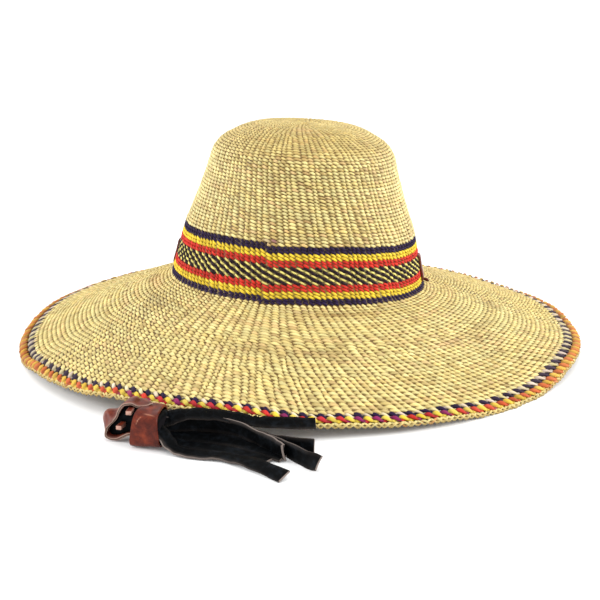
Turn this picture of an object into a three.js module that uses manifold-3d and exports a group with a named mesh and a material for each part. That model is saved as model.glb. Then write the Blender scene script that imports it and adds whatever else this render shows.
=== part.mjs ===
// A wide-brimmed twined straw hat with a dyed band, a plaited rim, a leather chin strap and a
// leather tassel. Millimetres, +Z up, -Y towards the viewer. The origin is on the floor under the
// middle of the rim. Azimuth 0 is +X, 90 the back, 180 the left and -90 the front.
import * as THREE from 'three';
import { mergeVertices } from 'three/addons/utils/BufferGeometryUtils.js';
import Module from 'manifold-3d';

const wasm = await Module();
wasm.setup();

// Driving dimensions
const around = 72;               // facets round the hat
const wall = 3;                  // thickness of the twined straw
const gap = 0.3;                 // clearance between neighbouring pieces
const crownSeat = { x: -1.9, y: 0, z: 53.8 };       // middle of the circle where crown and brim meet
const crownLean = { right: 2.82, back: 2.0 };       // degrees that the crown's axis leans
const bandHeight = 42.1;
const rimReach = { x: 223.5, y: 226 };              // half the rim's width and depth
const plaitHeight = 5;

// Crown profile: height above the seat circle and outer radius
const crownSections = [
  { height: 0, radius: 99.9 },
  { height: bandHeight, radius: 90.4 },
  { height: 62, radius: 82.8 },
  { height: 84, radius: 75.7 },
  { height: 101, radius: 70.9 },
  { height: 109, radius: 64.7 },
  { height: 114.5, radius: 55.5 },
  { height: 118.8, radius: 46.5 },
  { height: 121.4, radius: 33 },
  { height: 122.4, radius: 0 },
];

// Underside of the rim above the floor; it touches the floor in three places
const rimWaves = [
  { azimuth: -175, height: 0 },
  { azimuth: -165, height: 0 },
  { azimuth: -150, height: 7 },
  { azimuth: -138, height: 9 },
  { azimuth: -120, height: 10.5 },
  { azimuth: -104, height: 9.2 },
  { azimuth: -87, height: 5 },
  { azimuth: -66, height: 3.6 },
  { azimuth: -50, height: 0 },
  { azimuth: -40, height: 0 },
  { azimuth: -22, height: 6.5 },
  { azimuth: 2, height: 3 },
  { azimuth: 16, height: 5.2 },
  { azimuth: 34, height: 3.6 },
  { azimuth: 58, height: 6 },
  { azimuth: 85, height: 0 },
  { azimuth: 95, height: 0 },
  { azimuth: 121, height: 7 },
  { azimuth: 155, height: 5.2 },
  { azimuth: 185, height: 0 },
];

// Rings that finish the brim: distance of their sides from the rim's edge and half thickness
const rimRings = {
  dark: { outer: 12.6, inner: 19, half: 2.1 },
  bright: { outer: 6.6, inner: 12.6, half: 2.2 },
};
const brimEnd = 19;
const plaitWidth = 6.6;

// Leather
const anchor = { width: 11, thickness: 1.6, right: -6, left: 174 };
const anchorHoles = [23.5, 3.2];                    // heights of the two slits in the band
const thong = { radius: 2.1, sides: 8, step: 8 };
const tassel = { x: -101, y: -231, turn: -18 };     // where the tassel lies, and its turn in degrees
const sleeve = { length: 21, halfDepth: 16, halfHeight: 11.8, wall: 1.6, squareness: 3, sides: 24 };
const fringeHead = { length: 15.75, forward: 2.5 };  // the tied ends inside the sleeve
const loopStrip = { width: 12, thickness: 3.2 };
const fringeStrip = { width: 11.5, thickness: 1.5 };

// The anchor strip's path, as distance from the crown's axis and height above the seat circle
const anchorPath = [
  { out: 88.5, height: 22.8 },
  { out: 91.5, height: 23.4 },
  { out: 94.8, height: 23.5 },
  { out: 96.6, height: 22.2 },
  { out: 97.6, height: 18.5 },
  { out: 99.6, height: 12 },
  { out: 101.3, height: 6.5 },
  { out: 101.2, height: 4 },
  { out: 99.4, height: 3.2 },
  { out: 95, height: 3.2 },
  { out: 91.6, height: 3.2 },
];

// The two halves of the chin strap, from the anchors down to the floor, under the rim and up
// through the tassel's loop
const rightThong = [
  [88.5, -9.5, 52.5], [83, -9.5, 52], [78, -11, 47], [75, -16, 36], [71, -26, 22], [64, -41, 9],
  [52, -60, 3], [34, -82, 2.2], [8, -106, 2.2], [-22, -128, 2.2], [-54, -150, 2.2], [-80, -171, 2.2],
  [-96, -187, 2.2], [-102.5, -197, 2.8], [-106, -204.5, 6.5], [-108.3, -211.5, 13.5],
  [-110.3, -217.5, 19], [-111.9, -222.5, 21.3], [-113.7, -228, 21.6], [-117.3, -238.3, 21.3],
];
const leftThong = [
  [-92.2, 9.5, 61.4], [-86.5, 9, 61], [-82, 7, 56], [-80.5, 2, 45], [-82, -8, 30], [-87, -22, 14],
  [-93, -40, 4.5], [-99, -62, 2.2], [-105, -90, 2.2], [-109, -120, 2.2], [-112, -150, 2.2],
  [-114.5, -176, 2.2], [-115.5, -194, 2.2], [-115.2, -205, 3.2], [-115, -212, 6.5],
  [-115.6, -218, 9.6], [-117, -223.5, 10.7], [-118.5, -228, 10.7], [-121.8, -237.4, 10.5],
];

// The loop's strip, in the tassel's frame: along its length, aside (towards the back) and up
const loopPath = [
  { along: -7.6, aside: 0, up: 7.4 },
  { along: -12, aside: 0, up: 7 },
  { along: -17, aside: 0, up: 5.2 },
  { along: -22, aside: 0, up: 2.4 },
  { along: -25.8, aside: 0, up: 3.2 },
  { along: -27.2, aside: 0, up: 6 },
  { along: -25.6, aside: 0, up: 9 },
  { along: -22.2, aside: 0, up: 12.2 },
  { along: -19.6, aside: 0, up: 16.4 },
  { along: -18.4, aside: 0, up: 21 },
  { along: -15.8, aside: 0, up: 25.2 },
  { along: -11.6, aside: 1.5, up: 27.6 },
  { along: -7.5, aside: 3.5, up: 28 },
  { along: -2.5, aside: 5.5, up: 27 },
  { along: 2.8, aside: 7, up: 26.2 },
];

// The fringe, one row for each station of each strip, in the tassel's frame. Lean is the angle of
// the strip's width: 0 lies flat, 90 stands on edge
const fringeStrips = {
  upper: [
    { along: 4, aside: 2, up: 13.6, lean: 55 },
    { along: 12, aside: 4.2, up: 15.2, lean: 48 },
    { along: 19, aside: 8, up: 18, lean: 42 },
    { along: 28.2, aside: 13.4, up: 18.5, lean: 35 },
    { along: 40.6, aside: 20.6, up: 17.5, lean: 30 },
    { along: 55.9, aside: 25.5, up: 15, lean: 24 },
    { along: 81.7, aside: 33.4, up: 13.2, lean: 22 },
    { along: 104.2, aside: 41.7, up: 12.6, lean: 22 },
  ],
  curling: [
    { along: 4, aside: 1, up: 12, lean: 80 },
    { along: 12, aside: 5, up: 10.8, lean: 85 },
    { along: 24.1, aside: 11.5, up: 9.8, lean: 85 },
    { along: 39.2, aside: 17.5, up: 8.6, lean: 85 },
    { along: 57.8, aside: 17.5, up: 7.4, lean: 88 },
    { along: 74.6, aside: 9.5, up: 6.6, lean: 90 },
    { along: 88.3, aside: 2.2, up: 6.4, lean: 90 },
    { along: 96.5, aside: -4, up: 6.4, lean: 90 },
    { along: 97, aside: -9, up: 6.8, lean: 95 },
    { along: 92.8, aside: -11.5, up: 7.4, lean: 100 },
  ],
  rear: [
    { along: 4, aside: 5, up: 10.5, lean: 80 },
    { along: 12, aside: 8.5, up: 10, lean: 82 },
    { along: 24.1, aside: 15.5, up: 8.6, lean: 85 },
    { along: 39.2, aside: 21.4, up: 7.2, lean: 88 },
    { along: 57.8, aside: 21.6, up: 6.4, lean: 90 },
    { along: 74.6, aside: 15, up: 6, lean: 90 },
    { along: 88.3, aside: 10.5, up: 6, lean: 90 },
    { along: 112.1, aside: 11.4, up: 5.9, lean: 88 },
  ],
  middle: [
    { along: 4, aside: 3, up: 9.5, lean: 80 },
    { along: 24.1, aside: 13.5, up: 7.4, lean: 85 },
    { along: 39.2, aside: 19.4, up: 6.6, lean: 88 },
    { along: 57.8, aside: 19.6, up: 6.2, lean: 90 },
    { along: 74.6, aside: 12.2, up: 6, lean: 90 },
    { along: 88.3, aside: 6, up: 6, lean: 88 },
    { along: 103, aside: -3.2, up: 5.8, lean: 85 },
    { along: 114, aside: -10, up: 5.2, lean: 70 },
    { along: 123.6, aside: -15, up: 5.6, lean: 55 },
  ],
  lying_back: [
    { along: 4, aside: 1, up: 7.5, lean: 20 },
    { along: 22, aside: 5, up: 5, lean: 25 },
    { along: 40, aside: 10.5, up: 3.6, lean: 18 },
    { along: 60, aside: 10.5, up: 2.6, lean: 12 },
    { along: 80, aside: 2, up: 2, lean: 8 },
    { along: 96, aside: -3, up: 1.6, lean: 5 },
  ],
  lying_front: [
    { along: 4, aside: -3, up: 6, lean: 10 },
    { along: 22, aside: -4, up: 3.6, lean: 8 },
    { along: 40, aside: -2, up: 2.4, lean: 6 },
    { along: 60, aside: -3, up: 1.8, lean: 6 },
    { along: 88, aside: -11, up: 1.5, lean: 4 },
  ],
  front: [
    { along: 4, aside: -2.5, up: 8.6, lean: 60 },
    { along: 12, aside: -5, up: 8, lean: 50 },
    { along: 23.5, aside: -11, up: 4.6, lean: 32 },
    { along: 41.7, aside: -15.5, up: 4.2, lean: 28 },
    { along: 58, aside: -14, up: 4.6, lean: 24 },
    { along: 72, aside: -19, up: 4, lean: 14 },
    { along: 86, aside: -24.5, up: 2.8, lean: 8 },
    { along: 107.5, aside: -36.5, up: 1.5, lean: 4 },
  ],
};

const straw = new THREE.MeshStandardMaterial({ color: 0xdcc584, roughness: 0.8, metalness: 0 });
const dyedStraw = new THREE.MeshStandardMaterial({ color: 0xb05a2c, roughness: 0.8, metalness: 0 });
const darkStraw = new THREE.MeshStandardMaterial({ color: 0x3a2a48, roughness: 0.8, metalness: 0 });
const brightStraw = new THREE.MeshStandardMaterial({ color: 0xe0a030, roughness: 0.8, metalness: 0 });
const brownLeather = new THREE.MeshStandardMaterial({ color: 0x7a3420, roughness: 0.55, metalness: 0 });
const blackLeather = new THREE.MeshStandardMaterial({ color: 0x17161a, roughness: 0.5, metalness: 0 });

// Geometry helpers
function weld(geometry) {
  // One vertex for each place, and no triangle that has shrunk to a line
  const bare = geometry.clone();
  bare.deleteAttribute('normal');
  bare.deleteAttribute('uv');
  const merged = mergeVertices(bare, 1e-4);
  const old = merged.index.array;
  const kept = [];
  for (let i = 0; i < old.length; i += 3) {
    const [a, b, c] = [old[i], old[i + 1], old[i + 2]];
    if (a !== b && b !== c && c !== a) kept.push(a, b, c);
  }
  merged.setIndex(kept);
  return outward(merged);
}

function outward(geometry) {
  // Turns the faces round if they enclose a negative volume
  const at = geometry.attributes.position;
  const index = geometry.index.array;
  const corner = (i) => new THREE.Vector3().fromBufferAttribute(at, index[i]);
  let volume = 0;
  for (let i = 0; i < index.length; i += 3) {
    volume += corner(i).dot(corner(i + 1).cross(corner(i + 2)));
  }
  if (volume < 0) {
    for (let i = 0; i < index.length; i += 3) [index[i], index[i + 1]] = [index[i + 1], index[i]];
  }
  return geometry;
}

function toSolid(geometry) {
  const clean = weld(geometry);
  return new wasm.Manifold(new wasm.Mesh({
    numProp: 3,
    vertProperties: new Float32Array(clean.attributes.position.array),
    triVerts: new Uint32Array(clean.index.array),
  }));
}

function fromSolid(solid) {
  const mesh = solid.getMesh();
  const geometry = new THREE.BufferGeometry();
  geometry.setAttribute('position', new THREE.BufferAttribute(mesh.vertProperties, 3));
  geometry.setIndex(Array.from(mesh.triVerts));
  return geometry;
}

function gridSkin(rings, { closed }) {
  // Joins equal rings of points; closed joins the last ring to the first, else flat ends close it
  const count = rings[0].length;
  const points = rings.flat().flatMap((p) => [p.x, p.y, p.z]);
  const index = [];
  const last = closed ? rings.length : rings.length - 1;
  for (let r = 0; r < last; r += 1) {
    const next = (r + 1) % rings.length;
    for (let i = 0; i < count; i += 1) {
      const j = (i + 1) % count;
      const [a, b, c, d] = [r * count + i, r * count + j, next * count + j, next * count + i];
      index.push(a, b, c, a, c, d);
    }
  }
  if (!closed) {
    const end = (rings.length - 1) * count;
    for (let i = 1; i < count - 1; i += 1) {
      index.push(0, i + 1, i);
      index.push(end, end + i, end + i + 1);
    }
  }
  const geometry = new THREE.BufferGeometry();
  geometry.setAttribute('position', new THREE.Float32BufferAttribute(points, 3));
  geometry.setIndex(index);
  return outward(geometry);
}

function named(name, geometry, material) {
  const mesh = new THREE.Mesh(geometry, material);
  mesh.name = name;
  return mesh;
}

// Crown and band, in the crown's own leaning frame
const crownFrame = new THREE.Group();
crownFrame.position.set(crownSeat.x, crownSeat.y, crownSeat.z);
const axis = new THREE.Vector3(
  Math.tan(THREE.MathUtils.degToRad(crownLean.right)),
  Math.tan(THREE.MathUtils.degToRad(crownLean.back)),
  1,
).normalize();
crownFrame.quaternion.setFromUnitVectors(new THREE.Vector3(0, 0, 1), axis);
crownFrame.updateMatrix();

function turned(profile) {
  const lathe = new THREE.LatheGeometry(profile, around);
  lathe.rotateX(Math.PI / 2);
  return weld(lathe);
}

function crownShell() {
  const upper = crownSections.filter((s) => s.height >= bandHeight);
  const outline = new THREE.SplineCurve(upper.map((s) => new THREE.Vector2(s.radius, s.height)));
  const steps = 10;
  const outer = [];
  const inner = [];
  for (let i = 0; i <= steps; i += 1) {
    const share = i / steps;
    const p = outline.getPoint(share);
    const along = outline.getTangent(share);
    const normal = new THREE.Vector2(along.y, -along.x);
    if (i === 0) normal.set(1, 0);
    if (i === steps) normal.set(0, 1);
    outer.push(p);
    inner.push(p.clone().addScaledVector(normal, -wall));
  }
  outer[0].y += gap / 2;
  inner[0].y += gap / 2;
  return turned([...outer, ...inner.reverse(), outer[0]]);
}

function bandShell() {
  const [low, high] = crownSections;
  const corner = (section, inset, lift) => new THREE.Vector2(section.radius - inset, section.height + lift);
  const bottom = corner(low, 0, gap / 2);
  const ring = turned([
    bottom,
    corner(high, 0, -gap / 2),
    corner(high, wall, -gap / 2),
    corner(low, wall, gap / 2),
    bottom,
  ]);
  let solid = toSolid(ring);
  for (const azimuth of [anchor.right, anchor.left]) {
    for (const height of anchorHoles) {
      const slit = new THREE.BoxGeometry(wall * 5, anchor.width + 2 * gap, anchor.thickness + 2 * gap);
      slit.translate(crownSections[0].radius - wall, 0, height);
      slit.rotateZ(THREE.MathUtils.degToRad(azimuth));
      solid = solid.subtract(toSolid(slit));
    }
  }
  return fromSolid(solid);
}

// Brim and rim share one middle surface, from the seat circle out to the rim's edge
function rimHeight(azimuth) {
  // Half cosine waves between the rows, so that equal rows give a flat stretch
  const turn = azimuth < rimWaves[0].azimuth ? azimuth + 360 : azimuth;
  const next = rimWaves.findIndex((row) => row.azimuth >= turn);
  if (rimWaves[next].azimuth === turn) return rimWaves[next].height;
  const [a, b] = [rimWaves[next - 1], rimWaves[next]];
  const share = (turn - a.azimuth) / (b.azimuth - a.azimuth);
  return a.height + (b.height - a.height) * (1 - Math.cos(Math.PI * share)) / 2;
}

function seatPoint(azimuth, radius) {
  // In the plane where crown and brim meet, lowered to the middle of the brim's wall
  const angle = THREE.MathUtils.degToRad(azimuth);
  const p = new THREE.Vector3(Math.cos(angle), Math.sin(angle), 0).multiplyScalar(radius);
  p.applyMatrix4(crownFrame.matrix);
  p.z -= (wall + gap) / 2;
  return p;
}

function edgePoint(azimuth) {
  const angle = THREE.MathUtils.degToRad(azimuth);
  const height = rimHeight(azimuth) + plaitHeight / 2;
  return new THREE.Vector3(rimReach.x * Math.cos(angle), rimReach.y * Math.sin(angle), height);
}

function brimReach(azimuth) {
  // Level distance from the seat circle to the rim's edge
  const seat = seatPoint(azimuth, crownSections[0].radius);
  const edge = edgePoint(azimuth);
  return Math.hypot(edge.x - seat.x, edge.y - seat.y);
}

function brimMiddle(azimuth, fromEdge) {
  // Straight from the rim's edge to the seat circle; fromEdge is the level distance from the edge
  const seat = seatPoint(azimuth, crownSections[0].radius);
  return edgePoint(azimuth).lerp(seat, fromEdge / brimReach(azimuth));
}

const azimuths = Array.from({ length: around }, (_, i) => (i * 360) / around - 175);

function brimShell() {
  const shares = [0, 0.25, 0.5, 0.75, 1];
  const ring = (share, lift) => azimuths.map((azimuth) => {
    const end = brimEnd + gap / 2;
    const p = brimMiddle(azimuth, end + share * (brimReach(azimuth) - end));
    p.z += lift;
    return p;
  });
  const mouth = (lift) => azimuths.map((azimuth) => {
    const p = seatPoint(azimuth, crownSections[0].radius - wall);
    p.z += lift;
    return p;
  });
  return gridSkin([
    ...shares.map((share) => ring(share, wall / 2)),
    mouth(wall / 2),
    mouth(-wall / 2),
    ...shares.toReversed().map((share) => ring(share, -wall / 2)),
  ], { closed: true });
}

function rimRing({ outer, inner, half }) {
  const section = [
    { inset: outer + gap / 2, lift: half * 0.8 },
    { inset: (outer + inner) / 2, lift: half },
    { inset: inner - gap / 2, lift: half * 0.8 },
    { inset: inner - gap / 2, lift: -half * 0.8 },
    { inset: (outer + inner) / 2, lift: -half },
    { inset: outer + gap / 2, lift: -half * 0.8 },
  ];
  return gridSkin(section.map((corner) => azimuths.map((a) => {
    const p = brimMiddle(a, corner.inset);
    p.z += corner.lift;
    return p;
  })), { closed: true });
}

function rimPlait() {
  // Its underside is level between the two inner corners, so that the rim stands on it
  const section = [
    { inset: 0, lift: 1 },
    { inset: 1.8, lift: 2.3 },
    { inset: plaitWidth - gap / 2, lift: 1.8 },
    { inset: plaitWidth - gap / 2, lift: -1.6 },
    { inset: 4.8, level: 0 },
    { inset: 1.2, level: 0 },
    { inset: 0, lift: -1 },
  ];
  return gridSkin(section.map((corner) => azimuths.map((a) => {
    const p = brimMiddle(a, corner.inset);
    p.z = corner.level === undefined ? p.z + corner.lift : rimHeight(a);
    return p;
  })), { closed: true });
}

// Leather strips and thongs
function ribbon(stations, { width, thickness, across }) {
  // A flat strip swept through its stations: its width lies level across the path, turned up by
  // each station's lean, or along the given direction
  const curve = new THREE.CatmullRomCurve3(
    stations.map((s) => new THREE.Vector3(s.along, s.aside, s.up)), false, 'centripetal');
  const steps = 2 * (stations.length - 1);
  const up = new THREE.Vector3(0, 0, 1);
  const rings = [];
  for (let i = 0; i <= steps; i += 1) {
    const share = i / steps;
    const p = curve.getPoint(share);
    const tangent = curve.getTangent(share);
    const before = stations[Math.floor(i / 2)];
    const after = stations[Math.min(Math.ceil(i / 2), stations.length - 1)];
    const lean = THREE.MathUtils.degToRad(((before.lean ?? 0) + (after.lean ?? 0)) / 2);
    const level = across ? across.clone() : up.clone().cross(tangent).normalize();
    const wide = level.multiplyScalar(Math.cos(lean)).addScaledVector(up, across ? 0 : Math.sin(lean));
    const thick = tangent.clone().cross(wide).normalize();
    const corners = [[1, 1], [-1, 1], [-1, -1], [1, -1]];
    rings.push(corners.map(([w, t]) => p.clone()
      .addScaledVector(wide, (w * width) / 2)
      .addScaledVector(thick, (t * thickness) / 2)));
  }
  return gridSkin(rings, { closed: false });
}

function anchorStrip(azimuth) {
  const path = anchorPath.map((s) => ({ along: s.out, aside: 0, up: s.height }));
  const strip = ribbon(path, {
    width: anchor.width,
    thickness: anchor.thickness,
    across: new THREE.Vector3(0, 1, 0),
  });
  return strip.rotateZ(THREE.MathUtils.degToRad(azimuth));
}

function thongTube(points) {
  const path = new THREE.CatmullRomCurve3(points.map((p) => new THREE.Vector3(...p)), false, 'centripetal');
  const section = new THREE.Shape(Array.from({ length: thong.sides }, (_, i) => {
    const angle = (2 * Math.PI * (i + 0.5)) / thong.sides;
    return new THREE.Vector2(Math.cos(angle), Math.sin(angle)).multiplyScalar(thong.radius);
  }));
  const steps = Math.round(path.getLength() / thong.step);
  return weld(new THREE.ExtrudeGeometry(section, { steps, extrudePath: path, bevelEnabled: false }));
}

function squareOval(halfDepth, halfHeight, Kind) {
  // A superellipse between an oval and a rectangle
  const points = Array.from({ length: sleeve.sides }, (_, i) => {
    const angle = (2 * Math.PI * (i + 0.5)) / sleeve.sides;
    const bend = (value) => Math.sign(value) * Math.abs(value) ** (2 / sleeve.squareness);
    return new THREE.Vector2(halfDepth * bend(Math.cos(angle)), halfHeight * bend(Math.sin(angle)));
  });
  return new Kind(points);
}

function alongTassel(outline, length) {
  // Extrudes an outline drawn as (aside, up) along the tassel, centred
  const geometry = new THREE.ExtrudeGeometry(outline, { depth: length, bevelEnabled: false, steps: 1 });
  geometry.translate(0, 0, -length / 2);
  geometry.rotateX(Math.PI / 2).rotateZ(Math.PI / 2);
  geometry.translate(0, 0, sleeve.halfHeight + gap);
  return geometry;
}

function sleeveShell() {
  const outline = squareOval(sleeve.halfDepth, sleeve.halfHeight, THREE.Shape);
  outline.holes.push(squareOval(sleeve.halfDepth - sleeve.wall, sleeve.halfHeight - sleeve.wall, THREE.Path));
  return weld(alongTassel(outline, sleeve.length));
}

function fringe() {
  const inset = sleeve.wall + gap;
  const headOutline = squareOval(sleeve.halfDepth - inset, sleeve.halfHeight - inset, THREE.Shape);
  const head = alongTassel(headOutline, fringeHead.length);
  head.translate(fringeHead.forward, 0, 0);
  let solid = toSolid(head);
  for (const stations of Object.values(fringeStrips)) {
    solid = solid.add(toSolid(ribbon(stations, fringeStrip)));
  }
  return fromSolid(solid);
}

// The hat
const hat = new THREE.Group();
crownFrame.add(
  named('crown', crownShell(), straw),
  named('woven_band', bandShell(), dyedStraw),
  named('strap_anchor_right', anchorStrip(anchor.right), brownLeather),
  named('strap_anchor_left', anchorStrip(anchor.left), brownLeather),
);
const tasselFrame = new THREE.Group();
tasselFrame.position.set(tassel.x, tassel.y, 0);
tasselFrame.rotation.z = THREE.MathUtils.degToRad(tassel.turn);
tasselFrame.add(
  named('tassel_loop', ribbon(loopPath, { ...loopStrip, across: new THREE.Vector3(0, 1, 0) }), brownLeather),
  named('tassel_wrap', sleeveShell(), brownLeather),
  named('tassel_fringe', fringe(), blackLeather),
);
hat.add(
  crownFrame,
  named('brim', brimShell(), straw),
  named('rim_dark_row', rimRing(rimRings.dark), darkStraw),
  named('rim_bright_row', rimRing(rimRings.bright), brightStraw),
  named('rim_plait', rimPlait(), straw),
  named('chin_strap_right', thongTube(rightThong), brownLeather),
  named('chin_strap_left', thongTube(leftThong), brownLeather),
  tasselFrame,
);

export default hat;
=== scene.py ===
"""The looks of a wide-brimmed hat of twined straw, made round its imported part.

Lengths are worked out in millimetres, in the part's frame (+Z up, -Y towards the viewer), and
become metres when a mesh is made. Azimuth 0 is +X, 90 the back and -90 the front.
"""
from __future__ import annotations

import logging
from dataclasses import dataclass, field
from enum import Enum

import bpy
import numpy as np
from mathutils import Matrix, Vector


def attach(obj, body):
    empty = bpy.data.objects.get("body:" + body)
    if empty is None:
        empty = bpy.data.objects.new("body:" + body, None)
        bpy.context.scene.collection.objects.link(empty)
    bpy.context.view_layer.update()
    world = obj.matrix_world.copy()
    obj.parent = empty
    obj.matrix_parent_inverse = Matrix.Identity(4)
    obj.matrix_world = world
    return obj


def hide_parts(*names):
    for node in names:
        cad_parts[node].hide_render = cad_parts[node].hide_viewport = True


Array = np.ndarray
MM = 0.001
BODY = "root"
SHADER = "Principled BSDF"
UP = np.array([0.0, 0.0, 1.0])
LOG = logging.getLogger("hat")

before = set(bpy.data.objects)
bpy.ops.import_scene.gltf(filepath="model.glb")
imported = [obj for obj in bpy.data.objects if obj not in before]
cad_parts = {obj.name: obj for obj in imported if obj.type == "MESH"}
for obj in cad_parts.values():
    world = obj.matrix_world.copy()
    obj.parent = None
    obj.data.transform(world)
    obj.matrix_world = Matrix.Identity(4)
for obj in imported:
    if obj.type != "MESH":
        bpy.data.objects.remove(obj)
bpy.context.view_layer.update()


class Hue(Enum):
    """Colours as sRGB hex."""

    @property
    def color(self) -> Array:
        """The linear colour."""
        return linear(self.value)


class Dye(Hue):
    """The straw's colours, with some painted light and shade among them."""

    NATURAL = "e6d893"
    GOLDEN = "e3c26c"
    ROSE = "daa878"
    BROWN = "94703c"
    PALE = "e9da7c"
    NAVY = "28183b"
    CHARCOAL = "24131c"
    YELLOW = "edcc3c"
    RED = "d03427"
    MAGENTA = "8a2a66"
    ORANGE = "d2924c"
    SMOKE = "6b6058"
    BLUSH = "efd9c8"
    # Painted light for the crown's sides.
    LIT_SIDE = "f2e8b8"
    PALER = "f6e296"
    # Darker straw: painted shade on the crown's top, and darker straw on the brim behind.
    DARKER = "c8ab62"
    # Painted shade seen through the gaps between rows.
    GAP_SHADE = "664b24"


class RawEdge(Hue):
    """Colours of the leather's cut edges, the painted highlight on the sleeve's creases, and the painted
    shade of the folds and the knot that lie in the dark.
    """

    ANCHOR = "6f4536"
    KNOT = "3a2018"
    THONG = "b48c7d"
    STRIP = "7a6f69"
    FOLD = "141214"
    LOOP = "a58a7c"
    SPLIT = "2a1a16"
    CREASE_HIGHLIGHT = "b98468"


def linear(code: str) -> Array:
    """Turns an sRGB hex code into linear red, green and blue.

    Args:
        code: six hex digits.

    Returns:
        Three numbers from 0 to 1.
    """
    value = np.array([int(code[i : i + 2], 16) for i in (0, 2, 4)]) / 255
    return np.where(value <= 0.04045, value / 12.92, ((value + 0.055) / 1.055) ** 2.4)


def mixed(first: Array, second: Array, share: Array) -> Array:
    """Blends two colours, or rows of colours.

    Args:
        first: linear colours.
        second: linear colours.
        share: of the second, for each row, held between 0 and 1.

    Returns:
        The blended rows.
    """
    share = np.clip(share, 0, 1)[..., None]
    return first * (1 - share) + second * share


def unit(vectors: Array) -> Array:
    """Scales each row to length 1."""
    return vectors / np.maximum(np.linalg.norm(vectors, axis=-1, keepdims=True), 1e-9)


def signed_power(values: Array, power: float) -> Array:
    """Raises values to a power and keeps their signs."""
    return np.sign(values) * np.abs(values) ** power


def sideways(azimuth: Array) -> Array:
    """1 at the hat's two sides and 0 in front and behind: the squared cosine of the azimuth."""
    return np.cos(np.radians(azimuth)) ** 2


def corner_angles(count: int, shift: float = 0.5) -> Array:
    """Angles of a section's corners, moved on by a share of their spacing."""
    return 2 * np.pi * (np.arange(count) + shift) / count


def waves_between(at: Array, stations: Array, values: Array) -> Array:
    """Joins values at growing stations with half cosine waves.

    Args:
        at: where the values are wanted.
        stations: growing places of the known values.
        values: the known values.

    Returns:
        One value for each place.
    """
    after = np.clip(np.searchsorted(stations, at), 1, len(stations) - 1)
    share = (at - stations[after - 1]) / (stations[after] - stations[after - 1])
    return values[after - 1] + (values[after] - values[after - 1]) * (1 - np.cos(np.pi * share)) / 2


def read_round(table: tuple, azimuth: Array, column: int = 1) -> Array:
    """Reads a table whose rows start with growing azimuths, with half cosine waves between them.

    Args:
        table: rows that go once round the hat.
        azimuth: where the values are wanted, in degrees.
        column: which of the rows' numbers is read.

    Returns:
        One value for each azimuth.
    """
    rows = np.array(table, float)
    turned = (azimuth - rows[0, 0]) % 360 + rows[0, 0]
    return waves_between(turned, rows[:, 0], rows[:, column])


def wander(count: int, knots: int, seed: int) -> Array:
    """Smooth random values from -1 to 1 along a line.

    Args:
        count: number of values.
        knots: number of random values that they pass through.
        seed: seed of the random draw.

    Returns:
        The values.
    """
    drawn = np.random.default_rng(seed).uniform(-1, 1, max(knots, 2))
    at = np.linspace(0, len(drawn) - 1, count)
    low = np.minimum(at.astype(int), len(drawn) - 2)
    share = at - low
    share = share * share * (3 - 2 * share)
    return drawn[low] * (1 - share) + drawn[low + 1] * share


def catmull(points: Array, steps: int, power: float = 0.5) -> Array:
    """A Catmull-Rom curve through points, its knots spaced by chord length to a power.

    Args:
        points: rows of coordinates.
        steps: pieces between two points.
        power: 0 for the uniform curve, 0.5 for the centripetal one.

    Returns:
        The curve's points, the first and last points included.
    """
    p = np.vstack([2 * points[0] - points[1], points, 2 * points[-1] - points[-2]])
    p0, p1, p2, p3 = (p[i : len(p) - 3 + i, None, :] for i in range(4))
    gap = [np.linalg.norm(b - a, axis=-1, keepdims=True) ** power for a, b in ((p0, p1), (p1, p2), (p2, p3))]
    t1 = gap[0]
    t2 = t1 + gap[1]
    t3 = t2 + gap[2]
    t = t1 + gap[1] * np.linspace(0, 1, steps, endpoint=False)[None, :, None]
    a1 = ((t1 - t) * p0 + t * p1) / t1
    a2 = ((t2 - t) * p1 + (t - t1) * p2) / (t2 - t1)
    a3 = ((t3 - t) * p2 + (t - t2) * p3) / (t3 - t2)
    b1 = ((t2 - t) * a1 + t * a2) / t2
    b2 = ((t3 - t) * a2 + (t - t1) * a3) / (t3 - t1)
    curve = ((t2 - t) * b1 + (t - t1) * b2) / (t2 - t1)
    return np.vstack([curve.reshape(-1, points.shape[1]), points[-1]])


def oval_rings(centre: Array, ways: tuple[Array, Array], halves: tuple, angle: Array) -> Array:
    """Ovals round a strand's middle: one half width times cos(angle), the other times sin(angle).

    Args:
        centre: the strand's middle at each ring.
        ways: directions of the oval's two half widths at each ring.
        halves: the two half widths, one number for each ring.
        angle: of each corner round the section.

    Returns:
        Rings of points.
    """
    turns = np.cos(angle)[None, :, None], np.sin(angle)[None, :, None]
    return centre[:, None] + sum(way[:, None] * (half * turn) for way, half, turn in zip(ways, halves, turns))


def strand_fibre(angle: Array, length: Array, radius: float) -> Array:
    """Coordinates in a straightened strand: round its section, then along it.

    Args:
        angle: of each corner round the section.
        length: of the strand up to each ring.
        radius: of the section.

    Returns:
        Three coordinates for each corner of each ring.
    """
    shape = (len(length), len(angle))
    parts = radius * np.cos(angle), radius * np.sin(angle), length[:, None]
    return np.stack([np.broadcast_to(part, shape) for part in parts], -1)


# Meshes


def place_object(name: str, data: bpy.types.ID) -> bpy.types.Object:
    """Makes an object of a mesh, a lamp or a camera and links it to the scene.

    Args:
        name: the object's name.
        data: what it shows.

    Returns:
        The new object.
    """
    thing = bpy.data.objects.new(name, data)
    bpy.context.scene.collection.objects.link(thing)
    return thing


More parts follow.
